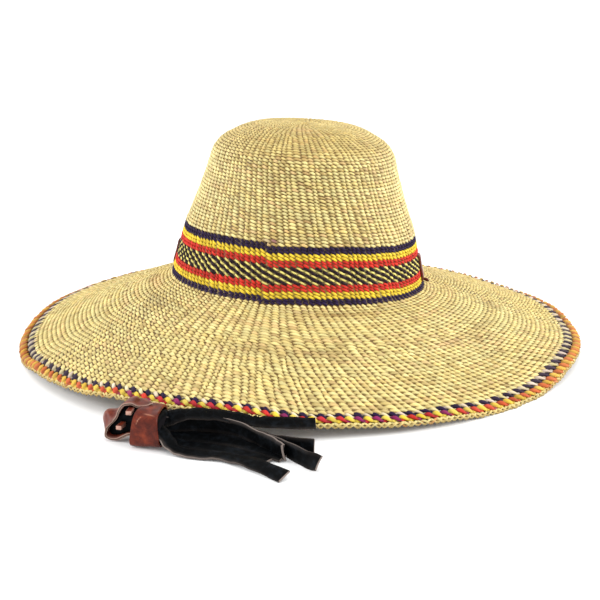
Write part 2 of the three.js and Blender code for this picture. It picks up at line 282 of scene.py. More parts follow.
@dataclass
class Skin:
    """Tubes that are put together into one mesh, with a strip of the bake map for each stretch."""

    points: list[Array] = field(default_factory=list)
    loops: list[Array] = field(default_factory=list)
    counts: list[Array] = field(default_factory=list)
    places: list[Array] = field(default_factory=list)
    colors: list[Array] = field(default_factory=list)
    fibres: list[Array] = field(default_factory=list)
    marks: list[Array] = field(default_factory=list)
    size: int = 0
    lanes: int = 0

    def tube(
        self, rings: Array, color: Array, fibre: Array, mark: Array, lane: int, closed: bool = False
    ) -> None:
        """Adds a tube: quads between each ring and the next, and a flat cap on each open end.

        Args:
            rings: points in millimetres, as ring, corner and coordinate, turning right-handed
                about the direction of travel.
            color: linear colour of each ring or of each point.
            fibre: coordinates of each point in the straightened strand, in millimetres.
            mark: a number for each point: for straw, how much painted shade it gets where it lies deep; for
                leather, how much it is a cut edge, partly painted highlight.
            lane: rings in one strip of the bake map.
            closed: joins the last ring to the first.
        """
        count, corners = rings.shape[:2]
        spans = count if closed else count - 1
        i = np.repeat(np.arange(spans), corners)
        k = np.tile(np.arange(corners), spans)
        near, far = i * corners, ((i + 1) % count) * corners
        k1 = (k + 1) % corners
        quads = np.stack([near + k, near + k1, far + k1, far + k], 1) + self.size
        row, start = i // lane, (i % lane) / lane
        end = start + 1 / lane
        low, high = (0.1 + 0.8 * k / corners), (0.1 + 0.8 * (k + 1) / corners)
        place = np.stack([start, row + low, start, row + high, end, row + high, end, row + low], 1)
        place[:, 1::2] += self.lanes
        self.loops.append(quads.ravel())
        self.counts.append(np.full(len(quads), 4))
        self.places.append(place.reshape(-1, 2))
        if not closed:
            first = np.arange(corners)[::-1] + self.size
            last = np.arange(corners) + self.size + (count - 1) * corners
            angle = np.linspace(0, 2 * np.pi, corners, endpoint=False)
            disc = 0.04 * np.stack([np.cos(angle) * 0.1, np.sin(angle)], 1)
            for cap, across in ((first, 0.02), (last, 0.06)):
                self.loops.append(cap)
                self.counts.append(np.array([corners]))
                self.places.append(disc + [across, self.lanes + row[-1] + 0.95])
        self.points.append(rings.reshape(-1, 3))
        whole = np.broadcast_to(color if color.ndim == 3 else color[:, None, :], rings.shape)
        self.colors.append(whole.reshape(-1, 3))
        self.fibres.append(fibre.reshape(-1, 3))
        self.marks.append(np.broadcast_to(mark, rings.shape[:2]).ravel())
        self.size += count * corners
        self.lanes += int(row[-1]) + 1

    def triangles(self) -> int:
        """Number of triangles that the mesh will have."""
        return int(sum((c - 2).sum() for c in self.counts))

    def build(self, name: str, material: bpy.types.Material, slot: str, *nodes: str) -> bpy.types.Object:
        """Makes the piece, which rides on the body and stands for the given nodes.

        Args:
            name: the piece's name.
            material: its finish.
            slot: not used.
            nodes: the nodes that it replaces.

        Returns:
            The new object.
        """
        points, loops, counts = (np.concatenate(x) for x in (self.points, self.loops, self.counts))
        mesh = bpy.data.meshes.new(name)
        mesh.vertices.add(len(points))
        mesh.vertices.foreach_set("co", (points * MM).astype(np.float32).ravel())
        mesh.loops.add(len(loops))
        mesh.loops.foreach_set("vertex_index", loops.astype(np.int32))
        mesh.polygons.add(len(counts))
        mesh.polygons.foreach_set("loop_start", (np.cumsum(counts) - counts).astype(np.int32))
        place = np.concatenate(self.places) / [1, max(self.lanes, 1)]
        mesh.uv_layers.new(name="OFBake").uv.foreach_set("vector", place.astype(np.float32).ravel())
        color = np.concatenate(self.colors)
        rgba = np.concatenate([color, np.ones((len(color), 1))], 1)
        for title, kind, key, values in (
            ("dye", "FLOAT_COLOR", "color", rgba),
            ("fibre", "FLOAT_VECTOR", "vector", np.concatenate(self.fibres)),
            ("mark", "FLOAT", "value", np.concatenate(self.marks)),
        ):
            attribute = mesh.attributes.new(title, kind, "POINT")
            attribute.data.foreach_set(key, values.astype(np.float32).ravel())
        mesh.update(calc_edges=True)
        mesh.validate()
        mesh.shade_smooth()
        mesh.materials.append(material)
        piece = place_object(name, mesh)
        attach(piece, BODY)
        if nodes:
            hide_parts(*nodes)
        LOG.info("%s: %d triangles", name, self.triangles())
        return piece


# Finishes


def new_material(name: str) -> bpy.types.Material:
    """A material that holds a plain shader.

    Args:
        name: the material's name.

    Returns:
        The new material.
    """
    material = bpy.data.materials.new(name)
    material.use_nodes = True
    return material


def add_node(
    material: bpy.types.Material | bpy.types.World, kind: str, settings: dict, links: dict
) -> bpy.types.Node:
    """Adds a shader node with its settings and links, or sets the shader that is already there.

    Args:
        material: the material or the world that gets the node.
        kind: the new node's type, or the name of a node that is there.
        settings: values of its properties and unlinked inputs, by name or number.
        links: the node and its output that feed each named or numbered input.

    Returns:
        The node.
    """
    nodes = material.node_tree.nodes
    node = nodes[kind] if kind in nodes else nodes.new(kind)
    for key, value in settings.items():
        if isinstance(key, int) or key in node.inputs:
            node.inputs[key].default_value = value
        else:
            setattr(node, key, value)
    for key, (source, output) in links.items():
        material.node_tree.links.new(source.outputs[output], node.inputs[key])
    return node


def ramp(node: bpy.types.Node, low: float, high: float, dark: float, light: float) -> None:
    """Makes a colour ramp run from one grey to another.

    Args:
        node: the colour ramp.
        low: where the first grey ends.
        high: where the last grey starts.
        dark: the first grey.
        light: the last grey.
    """
    first, last = node.color_ramp.elements
    first.position, last.position = low, high
    first.color = (dark, dark, dark, 1)
    last.color = (light, light, light, 1)


@dataclass(frozen=True)
class StrawFinish:
    """Dry straw splints, dyed in the bundle: a woody skin with fine fibres and a faint gloss.

    The colour of each stitch is in the mesh. The fibres are drawn coarser than real ones, which
    are 0.1 mm apart, so that they show.
    """

    name: str
    gloss: float = 0.5
    shine: float = 0.4
    fibre_mm: float = 0.45
    blotch_mm: float = 14.0
    # Colour of the painted shade that the mark mixes in where strands lie deep.
    crevice_shade: str = "7d6430"

    def make(self) -> bpy.types.Material:
        """Builds the material from the mesh's colour, fibre and mark attributes.

        Returns:
            The new material.
        """
        material = new_material(self.name)
        dye, fibre, mark = (
            add_node(material, "ShaderNodeAttribute", {"attribute_name": name}, {})
            for name in ("dye", "fibre", "mark")
        )
        place = add_node(material, "ShaderNodeTexCoord", {}, {})
        coarse = (1 / self.fibre_mm, 1 / self.fibre_mm, 0.09 / self.fibre_mm)
        stretched = add_node(material, "ShaderNodeMapping", {"Scale": coarse}, {"Vector": (fibre, "Vector")})
        fine = {"Scale": 1.0, "Detail": 3.0, "Roughness": 0.6}
        streaks = add_node(material, "ShaderNodeTexNoise", fine, {"Vector": (stretched, "Vector")})
        broad = {"Scale": 1 / (self.blotch_mm * MM), "Detail": 4.0, "Roughness": 0.55}
        blotches = add_node(material, "ShaderNodeTexNoise", broad, {"Vector": (place, "Object")})
        color = (dye, "Color")
        multiply = {"data_type": "RGBA", "blend_type": "MULTIPLY", 0: 1.0}
        for pattern, low, high, dark in ((streaks, 0.3, 0.72, 0.72), (blotches, 0.35, 0.7, 0.82)):
            tone = add_node(material, "ShaderNodeValToRGB", {}, {"Fac": (pattern, "Fac")})
            ramp(tone, low, high, dark, 1.0)
            color = (add_node(material, "ShaderNodeMix", multiply, {6: color, 7: (tone, "Color")}), 2)
        # Painted shade: the mark mixes the shade colour in where strands dive behind others.
        crevice_shade = {"data_type": "RGBA", 7: (*linear(self.crevice_shade), 1)}
        crevice_shaded = add_node(material, "ShaderNodeMix", crevice_shade, {0: (mark, "Fac"), 6: color})
        dull = {"To Min": self.gloss - 0.08, "To Max": self.gloss + 0.22}
        rough = add_node(material, "ShaderNodeMapRange", dull, {"Value": (streaks, "Fac")})
        ridge = {"Strength": 0.5, "Distance": 0.25 * MM}
        bump = add_node(material, "ShaderNodeBump", ridge, {"Height": (streaks, "Fac")})
        add_node(
            material,
            SHADER,
            {"IOR": 1.45, "Specular IOR Level": self.shine},
            {"Base Color": (crevice_shaded, 2), "Roughness": (rough, "Result"), "Normal": (bump, "Normal")},
        )
        return material


@dataclass(frozen=True)
class LeatherFinish:
    """Thin leather: a polished grain side with fine pores and pull marks, and raw cut edges.

    The grain's cells are 0.6 mm, about twice the real ones, so that they show. Its pale crease lines are
    partly rubbed wear and partly painted sheen, and the light end of its mottling is partly painted sheen.
    """

    name: str
    skin: str
    dark: str
    # The light tone is partly painted sheen; it also colours the painted sheen on creases.
    light: str
    gloss: float
    shine: float
    grain_mm: float = 0.6
    crease_mm: float = 7.0
    # How pale the crease lines are: partly rubbed wear, partly painted sheen.
    crease_wear_and_sheen: float = 0.12

    def make(self) -> bpy.types.Material:
        """Builds the material from the mesh's colour and mark attributes.

        Returns:
            The new material.
        """
        material = new_material(self.name)
        edge, mark = (
            add_node(material, "ShaderNodeAttribute", {"attribute_name": name}, {})
            for name in ("dye", "mark")
        )
        place = {"Vector": (add_node(material, "ShaderNodeTexCoord", {}, {}), "Object")}
        cloudy = {"Scale": 1 / (self.crease_mm * MM), "Detail": 5.0, "Roughness": 0.6}
        clouds = add_node(material, "ShaderNodeTexNoise", cloudy, place)
        pores, creases = (
            add_node(material, "ShaderNodeTexVoronoi", {"Scale": scale, "feature": "DISTANCE_TO_EDGE"}, place)
            for scale in (1 / (self.grain_mm * MM), 0.7 / (self.crease_mm * MM))
        )
        tones = add_node(material, "ShaderNodeValToRGB", {}, {"Fac": (clouds, "Fac")})
        tones.color_ramp.elements.new(0.52)
        codes = self.dark, self.skin, self.light
        for tone, at, code in zip(tones.color_ramp.elements, (0.3, 0.52, 0.75), codes):
            tone.position, tone.color = at, (*linear(code), 1)
        # Pale crease lines: partly rubbed wear, partly painted sheen.
        crease = add_node(material, "ShaderNodeValToRGB", {}, {"Fac": (creases, "Distance")})
        ramp(crease, 0.0, 0.04, self.crease_wear_and_sheen, 0.0)
        pale = {"data_type": "RGBA", 7: (*linear(self.light), 1)}
        crease_wear_and_sheen = add_node(material, "ShaderNodeMix", pale, {0: (crease, "Color"), 6: (tones, "Color")})
        raw = {0: (mark, "Fac"), 6: (crease_wear_and_sheen, 2), 7: (edge, "Color")}
        cut = add_node(material, "ShaderNodeMix", {"data_type": "RGBA"}, raw)
        dull = {"To Min": self.gloss, "To Max": 0.85}
        rough = add_node(material, "ShaderNodeMapRange", dull, {"Value": (mark, "Fac")})
        fine = {"Strength": 0.25, "Distance": 0.1 * MM}
        grain = add_node(material, "ShaderNodeBump", fine, {"Height": (pores, "Distance")})
        broad = {"Strength": 0.35, "Distance": 0.8 * MM}
        under = {"Height": (clouds, "Fac"), "Normal": (grain, "Normal")}
        pulled = add_node(material, "ShaderNodeBump", broad, under)
        add_node(
            material,
            SHADER,
            {"IOR": 1.5, "Specular IOR Level": self.shine},
            {"Base Color": (cut, 2), "Roughness": (rough, "Result"), "Normal": (pulled, "Normal")},
        )
        return material


# The hat's form


@dataclass
class HatForm:
    """The middle surface of the straw wall, from the crown's top out to the rim's edge."""

    seat: tuple[float, float, float] = (-1.9, 0.0, 53.8)
    lean_right: float = 2.82
    lean_back: float = 2.0
    wall: float = 3.0
    band_height: float = 42.1
    # Heights over the seat with the crown's outer radius there
    crown_sections: tuple = (
        (42.1, 90.4), (62, 82.8), (84, 75.7), (101, 70.9), (109, 64.7), (114.5, 55.5), (118.8, 46.5),
        (121.4, 33), (122.4, 0),
    )
    seat_radius: float = 99.9
    fold: tuple[float, float] = (98.65, -1.1)
    rim_reach: tuple[float, float] = (223.5, 226.0)
    plait_height: float = 5.0
    rim_width: float = 12.2
    rim_sides: float = 3.0
    # Azimuth and height of the rim's underside over the floor
    rim_waves: tuple = (
        (-175, 0), (-165, 0), (-150, 7), (-138, 9.2), (-123, 14.2), (-104, 14.6), (-86, 7), (-66, 3.6),
        (-50, 0), (-40, 0), (-22, 6.5), (2, 3), (16, 5.2), (34, 3.6), (58, 6), (85, 0), (95, 0),
        (121, 7), (155, 5.2), (185, 0),
    )
    jog: float = -106.0
    # How far the rows climb above a level ring: azimuth, at the band's foot, at the band's top
    drift: tuple = (
        (-175, 0.6, -0.9), (-165, 0.0, -1.2), (-150, -0.3, -0.8), (-128, -0.8, 0.1), (-108, -0.4, -0.2),
        (-90, 2.0, 0.6), (-70, 1.8, 0.9), (-50, 0.4, -1.2), (-35, -1.3, -3.0), (-20, -1.5, -3.6),
        (0, -0.4, -3.4), (50, -0.8, -2.0), (100, -0.5, -0.7), (140, 0.2, -0.7), (185, 0.6, -0.9),
    )

    def __post_init__(self) -> None:
        """Works out the crown's axes and its profile by distance from the fold."""
        tilt = np.tan(np.radians([self.lean_right, self.lean_back]))
        axis = unit(np.array([tilt[0], tilt[1], 1.0]))
        turn = np.array([[0, 0, axis[0]], [0, 0, axis[1]], [-axis[0], -axis[1], 0]])
        self.axes = np.eye(3) + turn + turn @ turn / (1 + axis[2])
        upper = catmull(np.array(self.crown_sections, float)[:, ::-1], 12, 0.0)
        share = np.linspace(0, 1, 24, endpoint=False)[:, None]
        wall_foot = np.array([self.seat_radius, 0.0])
        outer = np.vstack([wall_foot + (upper[0] - wall_foot) * share, upper])
        along = unit(np.gradient(outer, axis=0))
        normal = np.stack([along[:, 1], -along[:, 0]], 1)
        middle = outer - normal * self.wall / 2
        middle[-1] = (0, outer[-1, 1] - self.wall / 2)
        middle = np.vstack([self.fold, middle[1:]])
        self.profile = middle
        steps = np.linalg.norm(np.diff(middle, axis=0), axis=1)
        self.way = np.concatenate([[0], np.cumsum(steps)])
        self.band_top = float(np.interp(self.band_height, middle[:, 1], self.way))
        self.crown_way = float(self.way[-1])

    def rim_height(self, azimuth: Array) -> Array:
        """Height of the rim's underside, in half cosine waves between the table's rows."""
        return read_round(self.rim_waves, azimuth)

    def ring(self, azimuth: Array, radius: Array, height: Array) -> Array:
        """Points round the crown's leaning axis.

        Args:
            azimuth: degrees round the axis.
            radius: distance from the axis.
            height: along the axis, from the seat circle.

        Returns:
            The points in the part's frame.
        """
        angle = np.radians(azimuth)
        local = np.stack([radius * np.cos(angle), radius * np.sin(angle), height + 0 * angle], -1)
        return local @ self.axes.T + np.array(self.seat)

    def edge(self, azimuth: Array) -> Array:
        """The rim's outer edge, at half the plait's height.

        Args:
            azimuth: degrees round the hat.

        Returns:
            A point for each azimuth.
        """
        angle = np.radians(azimuth)
        height = self.rim_height(azimuth) + self.plait_height / 2
        return np.stack([self.rim_reach[0] * np.cos(angle), self.rim_reach[1] * np.sin(angle), height], -1)

    def slope(self, azimuth: Array) -> Array:
        """Length of the brim's slope from the fold to the rim's edge."""
        fold = self.ring(azimuth, self.fold[0], self.fold[1])
        return np.linalg.norm(self.edge(azimuth) - fold, axis=-1)

    def bare(self, way: Array, azimuth: Array) -> Array:
        """The wall with sharp folds: the crown's profile turned round, and straight lines down the brim.

        Args:
            way: up the profile from the fold, or down the brim if negative.
            azimuth: degrees round the hat.

        Returns:
            A point for each pair.
        """
        up = np.clip(way, 0, self.crown_way)
        radius = np.interp(up, self.way, self.profile[:, 0])
        height = np.interp(up, self.way, self.profile[:, 1])
        fold = self.ring(azimuth, self.fold[0], self.fold[1])
        down = (np.maximum(-way, 0) / self.slope(azimuth))[..., None]
        return self.ring(azimuth, radius, height) + (self.edge(azimuth) - fold) * down

    def point(self, way: Array, azimuth: Array) -> Array:
        """The wall with its folds rounded over 8 mm: a weighted mean of three places on its way.

        Args:
            way: up the profile from the fold, or down the brim if negative.
            azimuth: degrees round the hat.

        Returns:
            A point for each pair.
        """
        soft = 4.0
        near = self.bare(way - soft, azimuth) + self.bare(way + soft, azimuth)
        return (near + 2 * self.bare(way, azimuth)) / 4

    def climb(self, way: Array, azimuth: Array) -> Array:
        """How far a row wanders up from a level ring, fading out over the brim and the crown.

        Args:
            way: the row's way on the profile.
            azimuth: degrees round the hat.

        Returns:
            Millimetres up the wall.
        """
        foot, top = read_round(self.drift, azimuth, 1), read_round(self.drift, azimuth, 2)
        share = np.clip(way / self.band_top, 0, 1)
        fade = np.where(way < 0, np.exp(way / 22), np.exp(-np.maximum(way - self.band_top, 0) / 45))
        return (foot * (1 - share) + top * share) * fade

    def finish_width(self, azimuth: Array) -> Array:
        """Level width of the rim's finish, which is wider at the sides than in front and behind."""
        return self.rim_width + self.rim_sides * sideways(azimuth)

    def rim_point(self, from_edge: float | Array, azimuth: Array) -> Array:
        """A point of the brim's middle surface.

        Args:
            from_edge: level distance from the rim's edge.
            azimuth: degrees round the hat.

        Returns:
            A point for each azimuth.
        """
        fold = self.ring(azimuth, self.fold[0], self.fold[1])
        edge = self.edge(azimuth)
        reach = np.linalg.norm((edge - fold)[..., :2], axis=-1)
        return edge + (fold - edge) * (from_edge / reach)[..., None]


# Twined straw


@dataclass(frozen=True)
class Zone:
    """Rows of twining with one number of stitches to the round.

    Columns has a fraction: it is how far the stitches shift from one row to the next. Slant is
    how far a strand swings down and up as it passes, as a share of the rows' spacing, bulge is
    how round the rows stand out, and the last field how dark the painted shade at the crossings is.
    """

    rows: int
    columns: float
    piece: str
    slant: float = 0.25
    bulge: float = 0.8
    crevice_shade: float = 0.45


@dataclass(frozen=True)
class Stain:
    """A darker or redder patch of straw: its place, size and colour."""

    azimuth: float
    way: float
    turn: float
    depth: float
    strength: float
    dye: Dye


@dataclass
class Twining:
    """The rows of two-strand twining, one endless helix from the rim up to the crown's middle."""

    form: HatForm
    straw: bpy.types.Material
    dyed: bpy.types.Material
    brim_zones: tuple[Zone, ...] = (
        Zone(10, 214.24, "brim_outer_rows"),
        Zone(6, 188.2, "brim_middle_rows"),
        Zone(3, 158.16, "brim_middle_rows"),
        Zone(15, 131.1, "brim_inner_rows"),
    )
    band_zone: Zone = Zone(17, 131.1, "band_rows", 0.36, 1.0, 0.3)
    side_zone: Zone = Zone(24, 101.1, "crown_side_rows", 0.24, 1.0, 0.62)
    top_zones: tuple[Zone, ...] = (
        Zone(11, 90.1, "crown_top_rows", 0.2),
        Zone(6, 68.1, "crown_top_rows", 0.2),
        Zone(6, 46.1, "crown_top_rows", 0.2),
        Zone(6, 25.1, "crown_top_rows", 0.2),
    )
    # How far the brim's uprights lean more than the rows shift them: azimuth, degrees for each mm
    fan: tuple = (
        (-180, -0.03), (-150, -0.055), (-120, -0.07), (-103, -0.05), (-88, 0), (-62, 0.05), (-30, 0.06),
        (10, 0.03), (60, 0), (130, 0), (180, -0.03),
    )
    side_rise: float = 62.0
    outer_pitch: float = 3.95
    inner_pitch: float = 2.95
    steps: int = 4
    corners: int = 4
    hole: float = 2.0
    lead: float = 0.7
    # The knot in the middle of the crown's top: height and radius, then its ribs, their twist and depth
    button_profile: tuple = ((-1.6, 2.9), (-0.6, 3.1), (0.1, 2.7), (0.6, 1.9), (0.9, 1.0), (1.0, 0.3))
    button_ribs: tuple[float, float, float] = (7, 40, 0.09)
    pitch_limits: tuple[float, float] = (1.6, 4.6)
    crooked: float = 0.24
    fibre_radius: float = 1.4
    # Shares of colour mixed in: painted light on the crown's sides, paler straw on the brim, painted shade on
    # the crown's top and darker straw on the brim behind
    lit_sides: float = 0.3
    paler_brim: float = 0.22
    top_shade: float = 0.5
    darker_back: float = 0.45
    # The band's rows from its foot up; two dyes alternate along a patterned row
    band_rows: tuple = (
        *((Dye.NAVY, Dye.NAVY),) * 2,
        *((Dye.YELLOW, Dye.YELLOW),) * 2,
        *((Dye.RED, Dye.RED),) * 2,
        *((Dye.CHARCOAL, Dye.PALE),) * 5,
        *((Dye.RED, Dye.RED),) * 2,
        *((Dye.YELLOW, Dye.YELLOW),) * 2,
        *((Dye.NAVY, Dye.NAVY),) * 2,
    )
    stains: tuple[Stain, ...] = (
        Stain(-74, -10.5, 13, 3.0, 0.75, Dye.BROWN),
        Stain(-101, -58, 8, 7, 0.45, Dye.BROWN),
        Stain(-86, -58, 9, 4.5, 0.4, Dye.BROWN),
        Stain(-44, -60, 8, 4, 0.5, Dye.ROSE),
        Stain(-28, -60, 9, 4, 0.4, Dye.BROWN),
        Stain(0, -59, 6, 6, 0.4, Dye.BROWN),
        Stain(-180, -18, 7, 6, 0.5, Dye.BROWN),
        Stain(-151, -24, 12, 5, 0.3, Dye.BROWN),
        Stain(-170, -14, 8, 4, 0.4, Dye.ROSE),
        Stain(-155, -65, 3, 4, 0.4, Dye.BROWN),
        Stain(-92, 150, 12, 5, 0.5, Dye.ROSE),
        Stain(-103, 46.5, 3.5, 1.6, 0.6, Dye.MAGENTA),
        Stain(60, -40, 14, 5, 0.4, Dye.BROWN),
        Stain(118, -72, 10, 6, 0.4, Dye.ROSE),
        Stain(140, 70, 12, 5, 0.35, Dye.BROWN),
    )

    def __post_init__(self) -> None:
        """Finds the first row of each zone and the rows' spacing."""
        self.brim_rows = sum(zone.rows for zone in self.brim_zones)
        self.band_first = self.brim_rows
        self.side_first = self.band_first + self.band_zone.rows
        self.top_first = self.side_first + self.side_zone.rows
        self.top_rows = sum(zone.rows for zone in self.top_zones)

    def way(self, turn: Array, azimuth: Array) -> Array:
        """The way on the hat's profile after so many turns of the helix from the rim inwards.

        On the brim the rows narrow evenly from the outer to the inner spacing; on the crown they
        keep one spacing in each part.

        Args:
            turn: turns from the rim's finish, one for each row.
            azimuth: degrees round the hat.

        Returns:
            Millimetres from the fold, negative on the brim.
        """
        mean = (self.outer_pitch + self.inner_pitch) / 2
        spread = (self.outer_pitch - self.inner_pitch) / (2 * self.brim_rows)
        covered = (self.outer_pitch * turn - spread * turn * turn) / (mean * self.brim_rows)
        fold = self.form.ring(azimuth, *self.form.fold)
        edge = self.form.edge(azimuth)
        reach = np.linalg.norm((edge - fold)[..., :2], axis=-1)
        brim = self.form.slope(azimuth) * (1 - self.form.finish_width(azimuth) / reach)
        crown_turns = [self.band_first, self.side_first, self.top_first, self.top_first + self.top_rows]
        side_top = self.form.band_top + self.side_rise
        crown_ways = [0, self.form.band_top, side_top, self.form.crown_way - self.hole]
        up = np.interp(turn, crown_turns, crown_ways)
        level = np.where(turn < self.brim_rows, -brim * (1 - covered), up)
        return level + self.form.climb(level, azimuth)

    def fanned(self, zone: Zone, first: int, turn: Array, azimuth: Array) -> Array:
        """Azimuth of a brim zone's stitches with the uprights' lean.

        The innermost zone leans from the fold, where its uprights run on into the band, and the
        others from their middle row.

        Args:
            zone: the rows.
            first: the turn where they start.
            turn: the stitches' turn on the helix.
            azimuth: their azimuth without the lean.

        Returns:
            The azimuth for each stitch.
        """
        lean = read_round(self.fan, azimuth)
        still = first + zone.rows * (1.0 if zone is self.brim_zones[-1] else 0.5)
        outwards = self.way(np.full(len(turn), still), azimuth) - self.way(turn, azimuth)
        return azimuth + lean * outwards

    def place(self, turn: Array, azimuth: Array) -> Array:
        """A point on the helix's surface by turn and azimuth."""
        return self.form.point(self.way(turn, azimuth), azimuth)

    def natural(self, turn: Array, azimuth: Array, seed: int) -> Array:
        """Colour of undyed stitches: pale straw with golden, rosy and brown lengths and stains.

        The crown's sides get painted light and its top painted shade; the brim is paler, and darker behind.

        Args:
            turn: the stitches' turn on the helix.
            azimuth: their azimuth.
            seed: seed of the strand's own tints.

        Returns:
            A linear colour for each stitch.
        """
        rng = np.random.default_rng(seed)
        count = len(turn)
        pale, golden, rose, brown = (dye.color for dye in (Dye.NATURAL, Dye.GOLDEN, Dye.ROSE, Dye.BROWN))
        long_run = wander(count, count // 26, seed + 1)
        short_run = wander(count, count // 5, seed + 2)
        speck = rng.uniform(-1, 1, count)
        color = mixed(np.broadcast_to(pale, (count, 3)), golden, 0.3 + 0.35 * long_run + 0.2 * speck)
        color = mixed(color, rose, np.clip(1.5 * short_run - 0.65, 0, 0.5))
        color = mixed(color, brown, np.clip(2.5 * speck - 1.8, 0, 0.55))
        way = self.way(turn, azimuth)
        # Painted light on the crown's sides; the brim is made paler.
        sides = sideways(azimuth) ** 1.5
        color = mixed(color, Dye.LIT_SIDE.color, self.lit_sides * sides * (way > 0))
        color = mixed(color, Dye.PALER.color, self.paler_brim * (way < 0))
        # Painted shade on the crown's top; the brim is made darker behind.
        over = np.clip((way - self.form.band_top - self.side_rise + 4) / 14, 0, 1)
        behind = np.clip(1.5 * np.sin(np.radians(azimuth)) + 0.15, 0, 1) * (way < 0)
        color = mixed(color, Dye.DARKER.color, self.top_shade * over + self.darker_back * behind)
        for stain in self.stains:
            off = ((azimuth - stain.azimuth + 180) % 360 - 180) / stain.turn
            reach = np.exp(-(off**2) - ((way - stain.way) / stain.depth) ** 2)
            color = mixed(color, stain.dye.color, stain.strength * reach * (0.7 + 0.6 * rng.random(count)))
        return color * (1 + 0.15 * rng.uniform(-1, 1, (count, 1)))

    def stitch_colors(self, zone: Zone, first: int, strand: int, stitches: Array) -> Array:
        """Colour of each stitch of a strand, from its row's dye or the natural straw.

        Args:
            zone: the rows.
            first: the turn where they start.
            strand: 0 or 1.
            stitches: number of each stitch from there.

        Returns:
            A linear colour for each stitch.
        """
        turn = first + stitches / zone.columns
        azimuth = self.form.jog + 360 * stitches / zone.columns
        color = self.natural(turn, azimuth, 100 * first + strand)
        if zone is not self.band_zone:
            return color
        table = np.array([[dye.color for dye in row] for row in self.band_rows])
        row = np.clip((turn - self.band_first).astype(int), 0, zone.rows - 1)
        rng = np.random.default_rng(first + strand)
        shade = 1 + 0.22 * rng.uniform(-1, 1, (len(stitches), 1))
        return table[row, strand] * shade + 0.004

    def band_girth(self, turn: Array, strand: int) -> Array:
        """Relative thickness of a band's strand: the pattern's pale stitches are slim.

        Args:
            turn: turns of the helix.
            strand: 0 or 1.

        Returns:
            A factor for each turn.
        """
        patterned = np.array([row[0] is not row[1] for row in self.band_rows])
        row = np.clip((turn - self.band_first).astype(int), 0, len(patterned) - 1)
        return np.where(patterned[row], (1.12, 0.74)[strand], 1.0)

    def add_zone(self, skin: Skin, zone: Zone, first: int) -> None:
        """Adds a zone's two strands, each a wave that passes in front of and behind the wall.

        Along the row, counted in stitches u, a strand's middle is moved outwards by the depth
        times cos(pi u) and down the wall by the slant times sin(pi u); the other strand is half
        a wave behind. Its section is an oval that swells in the middle of each stitch.

        Args:
            skin: the mesh that gets the strands.
            zone: the rows.
            first: the turn where the zone starts.
        """
        lead = 0.0 if first else self.lead * zone.columns
        total = zone.rows * zone.columns + lead
        count = int(total * self.steps) + 1
        u = np.linspace(-lead, total - lead, count)
        columns = int(zone.columns)
        upright = np.random.default_rng(columns * 7).uniform(-self.crooked, self.crooked, columns + 1)
        upright[-1] = upright[0]
        uneven = np.interp(u % zone.columns, np.linspace(0, zone.columns, len(upright)), upright)
        azimuth = self.form.jog + 360 * (u + uneven) / zone.columns
        turn = first + u / zone.columns
        if zone in self.brim_zones:
            azimuth = self.fanned(zone, first, turn, azimuth)
        middle = self.place(turn, azimuth)
        reach = 0.25
        down = self.place(turn - reach, azimuth) - self.place(turn + reach, azimuth)
        pitch = np.clip(np.linalg.norm(down, axis=1, keepdims=True) / (2 * reach), *self.pitch_limits)
        along = unit(np.gradient(middle, axis=0))
        down = unit(down - along * (down * along).sum(1, keepdims=True))
        out = np.cross(down, along)
        stride = np.linalg.norm(np.gradient(middle, axis=0), axis=1) * self.steps
        length = np.cumsum(stride) / self.steps
        angle = corner_angles(self.corners)
        for strand in (0, 1):
            seed = 1000 * first + 10 * strand
            shift = 0.07 * wander(count, int(total), seed + 3)
            phase = np.pi * (u + strand + shift)[:, None]
            front = np.cos(phase)
            stitch = np.round(u + lead).astype(int)
            stitches = np.arange(stitch[-1] + 1) - lead
            rng = np.random.default_rng(seed)
            drawn = rng.uniform(-1, 1, len(stitches))
            drawn = np.where(drawn < -0.94, -2.6, drawn)
            thick = 1 + 0.11 * drawn[stitch][:, None]
            if zone is self.band_zone:
                thick = thick * self.band_girth(turn, strand)[:, None]
            swell = (0.62 + 0.38 * np.abs(front) ** 1.2) * thick
            lift = 0.14 * wander(count, int(total / 3), seed + 5)[:, None]
            depth = (0.42 + 0.14 * pitch) * zone.bulge
            slant = (zone.slant + 0.06 * wander(count, int(total / 2), seed + 6)[:, None]) * pitch
            centre = middle + out * (depth * front + lift) + down * slant * np.sin(phase)
            across = (0.56 * pitch * swell)[..., None]
            through = ((0.62 + 0.12 * pitch) * swell * zone.bulge)[..., None]
            rings = oval_rings(centre, (out, down), (through, across), angle)
            color = self.stitch_colors(zone, first, strand, stitches)[stitch]
            fibre = strand_fibre(angle, length + 500 * strand, self.fibre_radius)
            # Painted shade: darker where the strand dives behind the wall.
            crevice_shade = np.clip(1.1 * zone.crevice_shade * (1 - front) ** 2.3, 0, 0.8)
            skin.tube(rings, color, fibre, crevice_shade, int(zone.columns * self.steps))

    def core(self, name: str, low: float, high: float, rows: int, around: int) -> None:
        """The upright straws inside the twining, as one thin wall ribbed by the straws.

        A closed skin: its outer and inner faces are the middle surface moved by its half
        thickness, which has one low rib for each straw.

        Args:
            name: the piece's name.
            low: turn where it starts.
            high: turn where it ends.
            rows: rings between them.
            around: points round the hat.
        """
        azimuth = self.form.jog + np.linspace(0, 360, around, endpoint=False)
        levels = np.linspace(low, high, rows)
        turn, turned = np.meshgrid(levels, azimuth, indexing="ij")
        surface = self.place(turn.ravel(), turned.ravel()).reshape(rows, around, 3)
        along = unit(np.roll(surface, -1, 1) - np.roll(surface, 1, 1))
        down = unit(-np.gradient(surface, axis=0))
        out = unit(np.cross(down, along))
        rib = (0.3 + 0.12 * np.cos(np.pi * np.arange(around)))[None, :, None]
        rings = np.concatenate([surface + out * rib, (surface - out * rib)[::-1]], 0)
        rings = np.swapaxes(rings, 0, 1)[::-1]
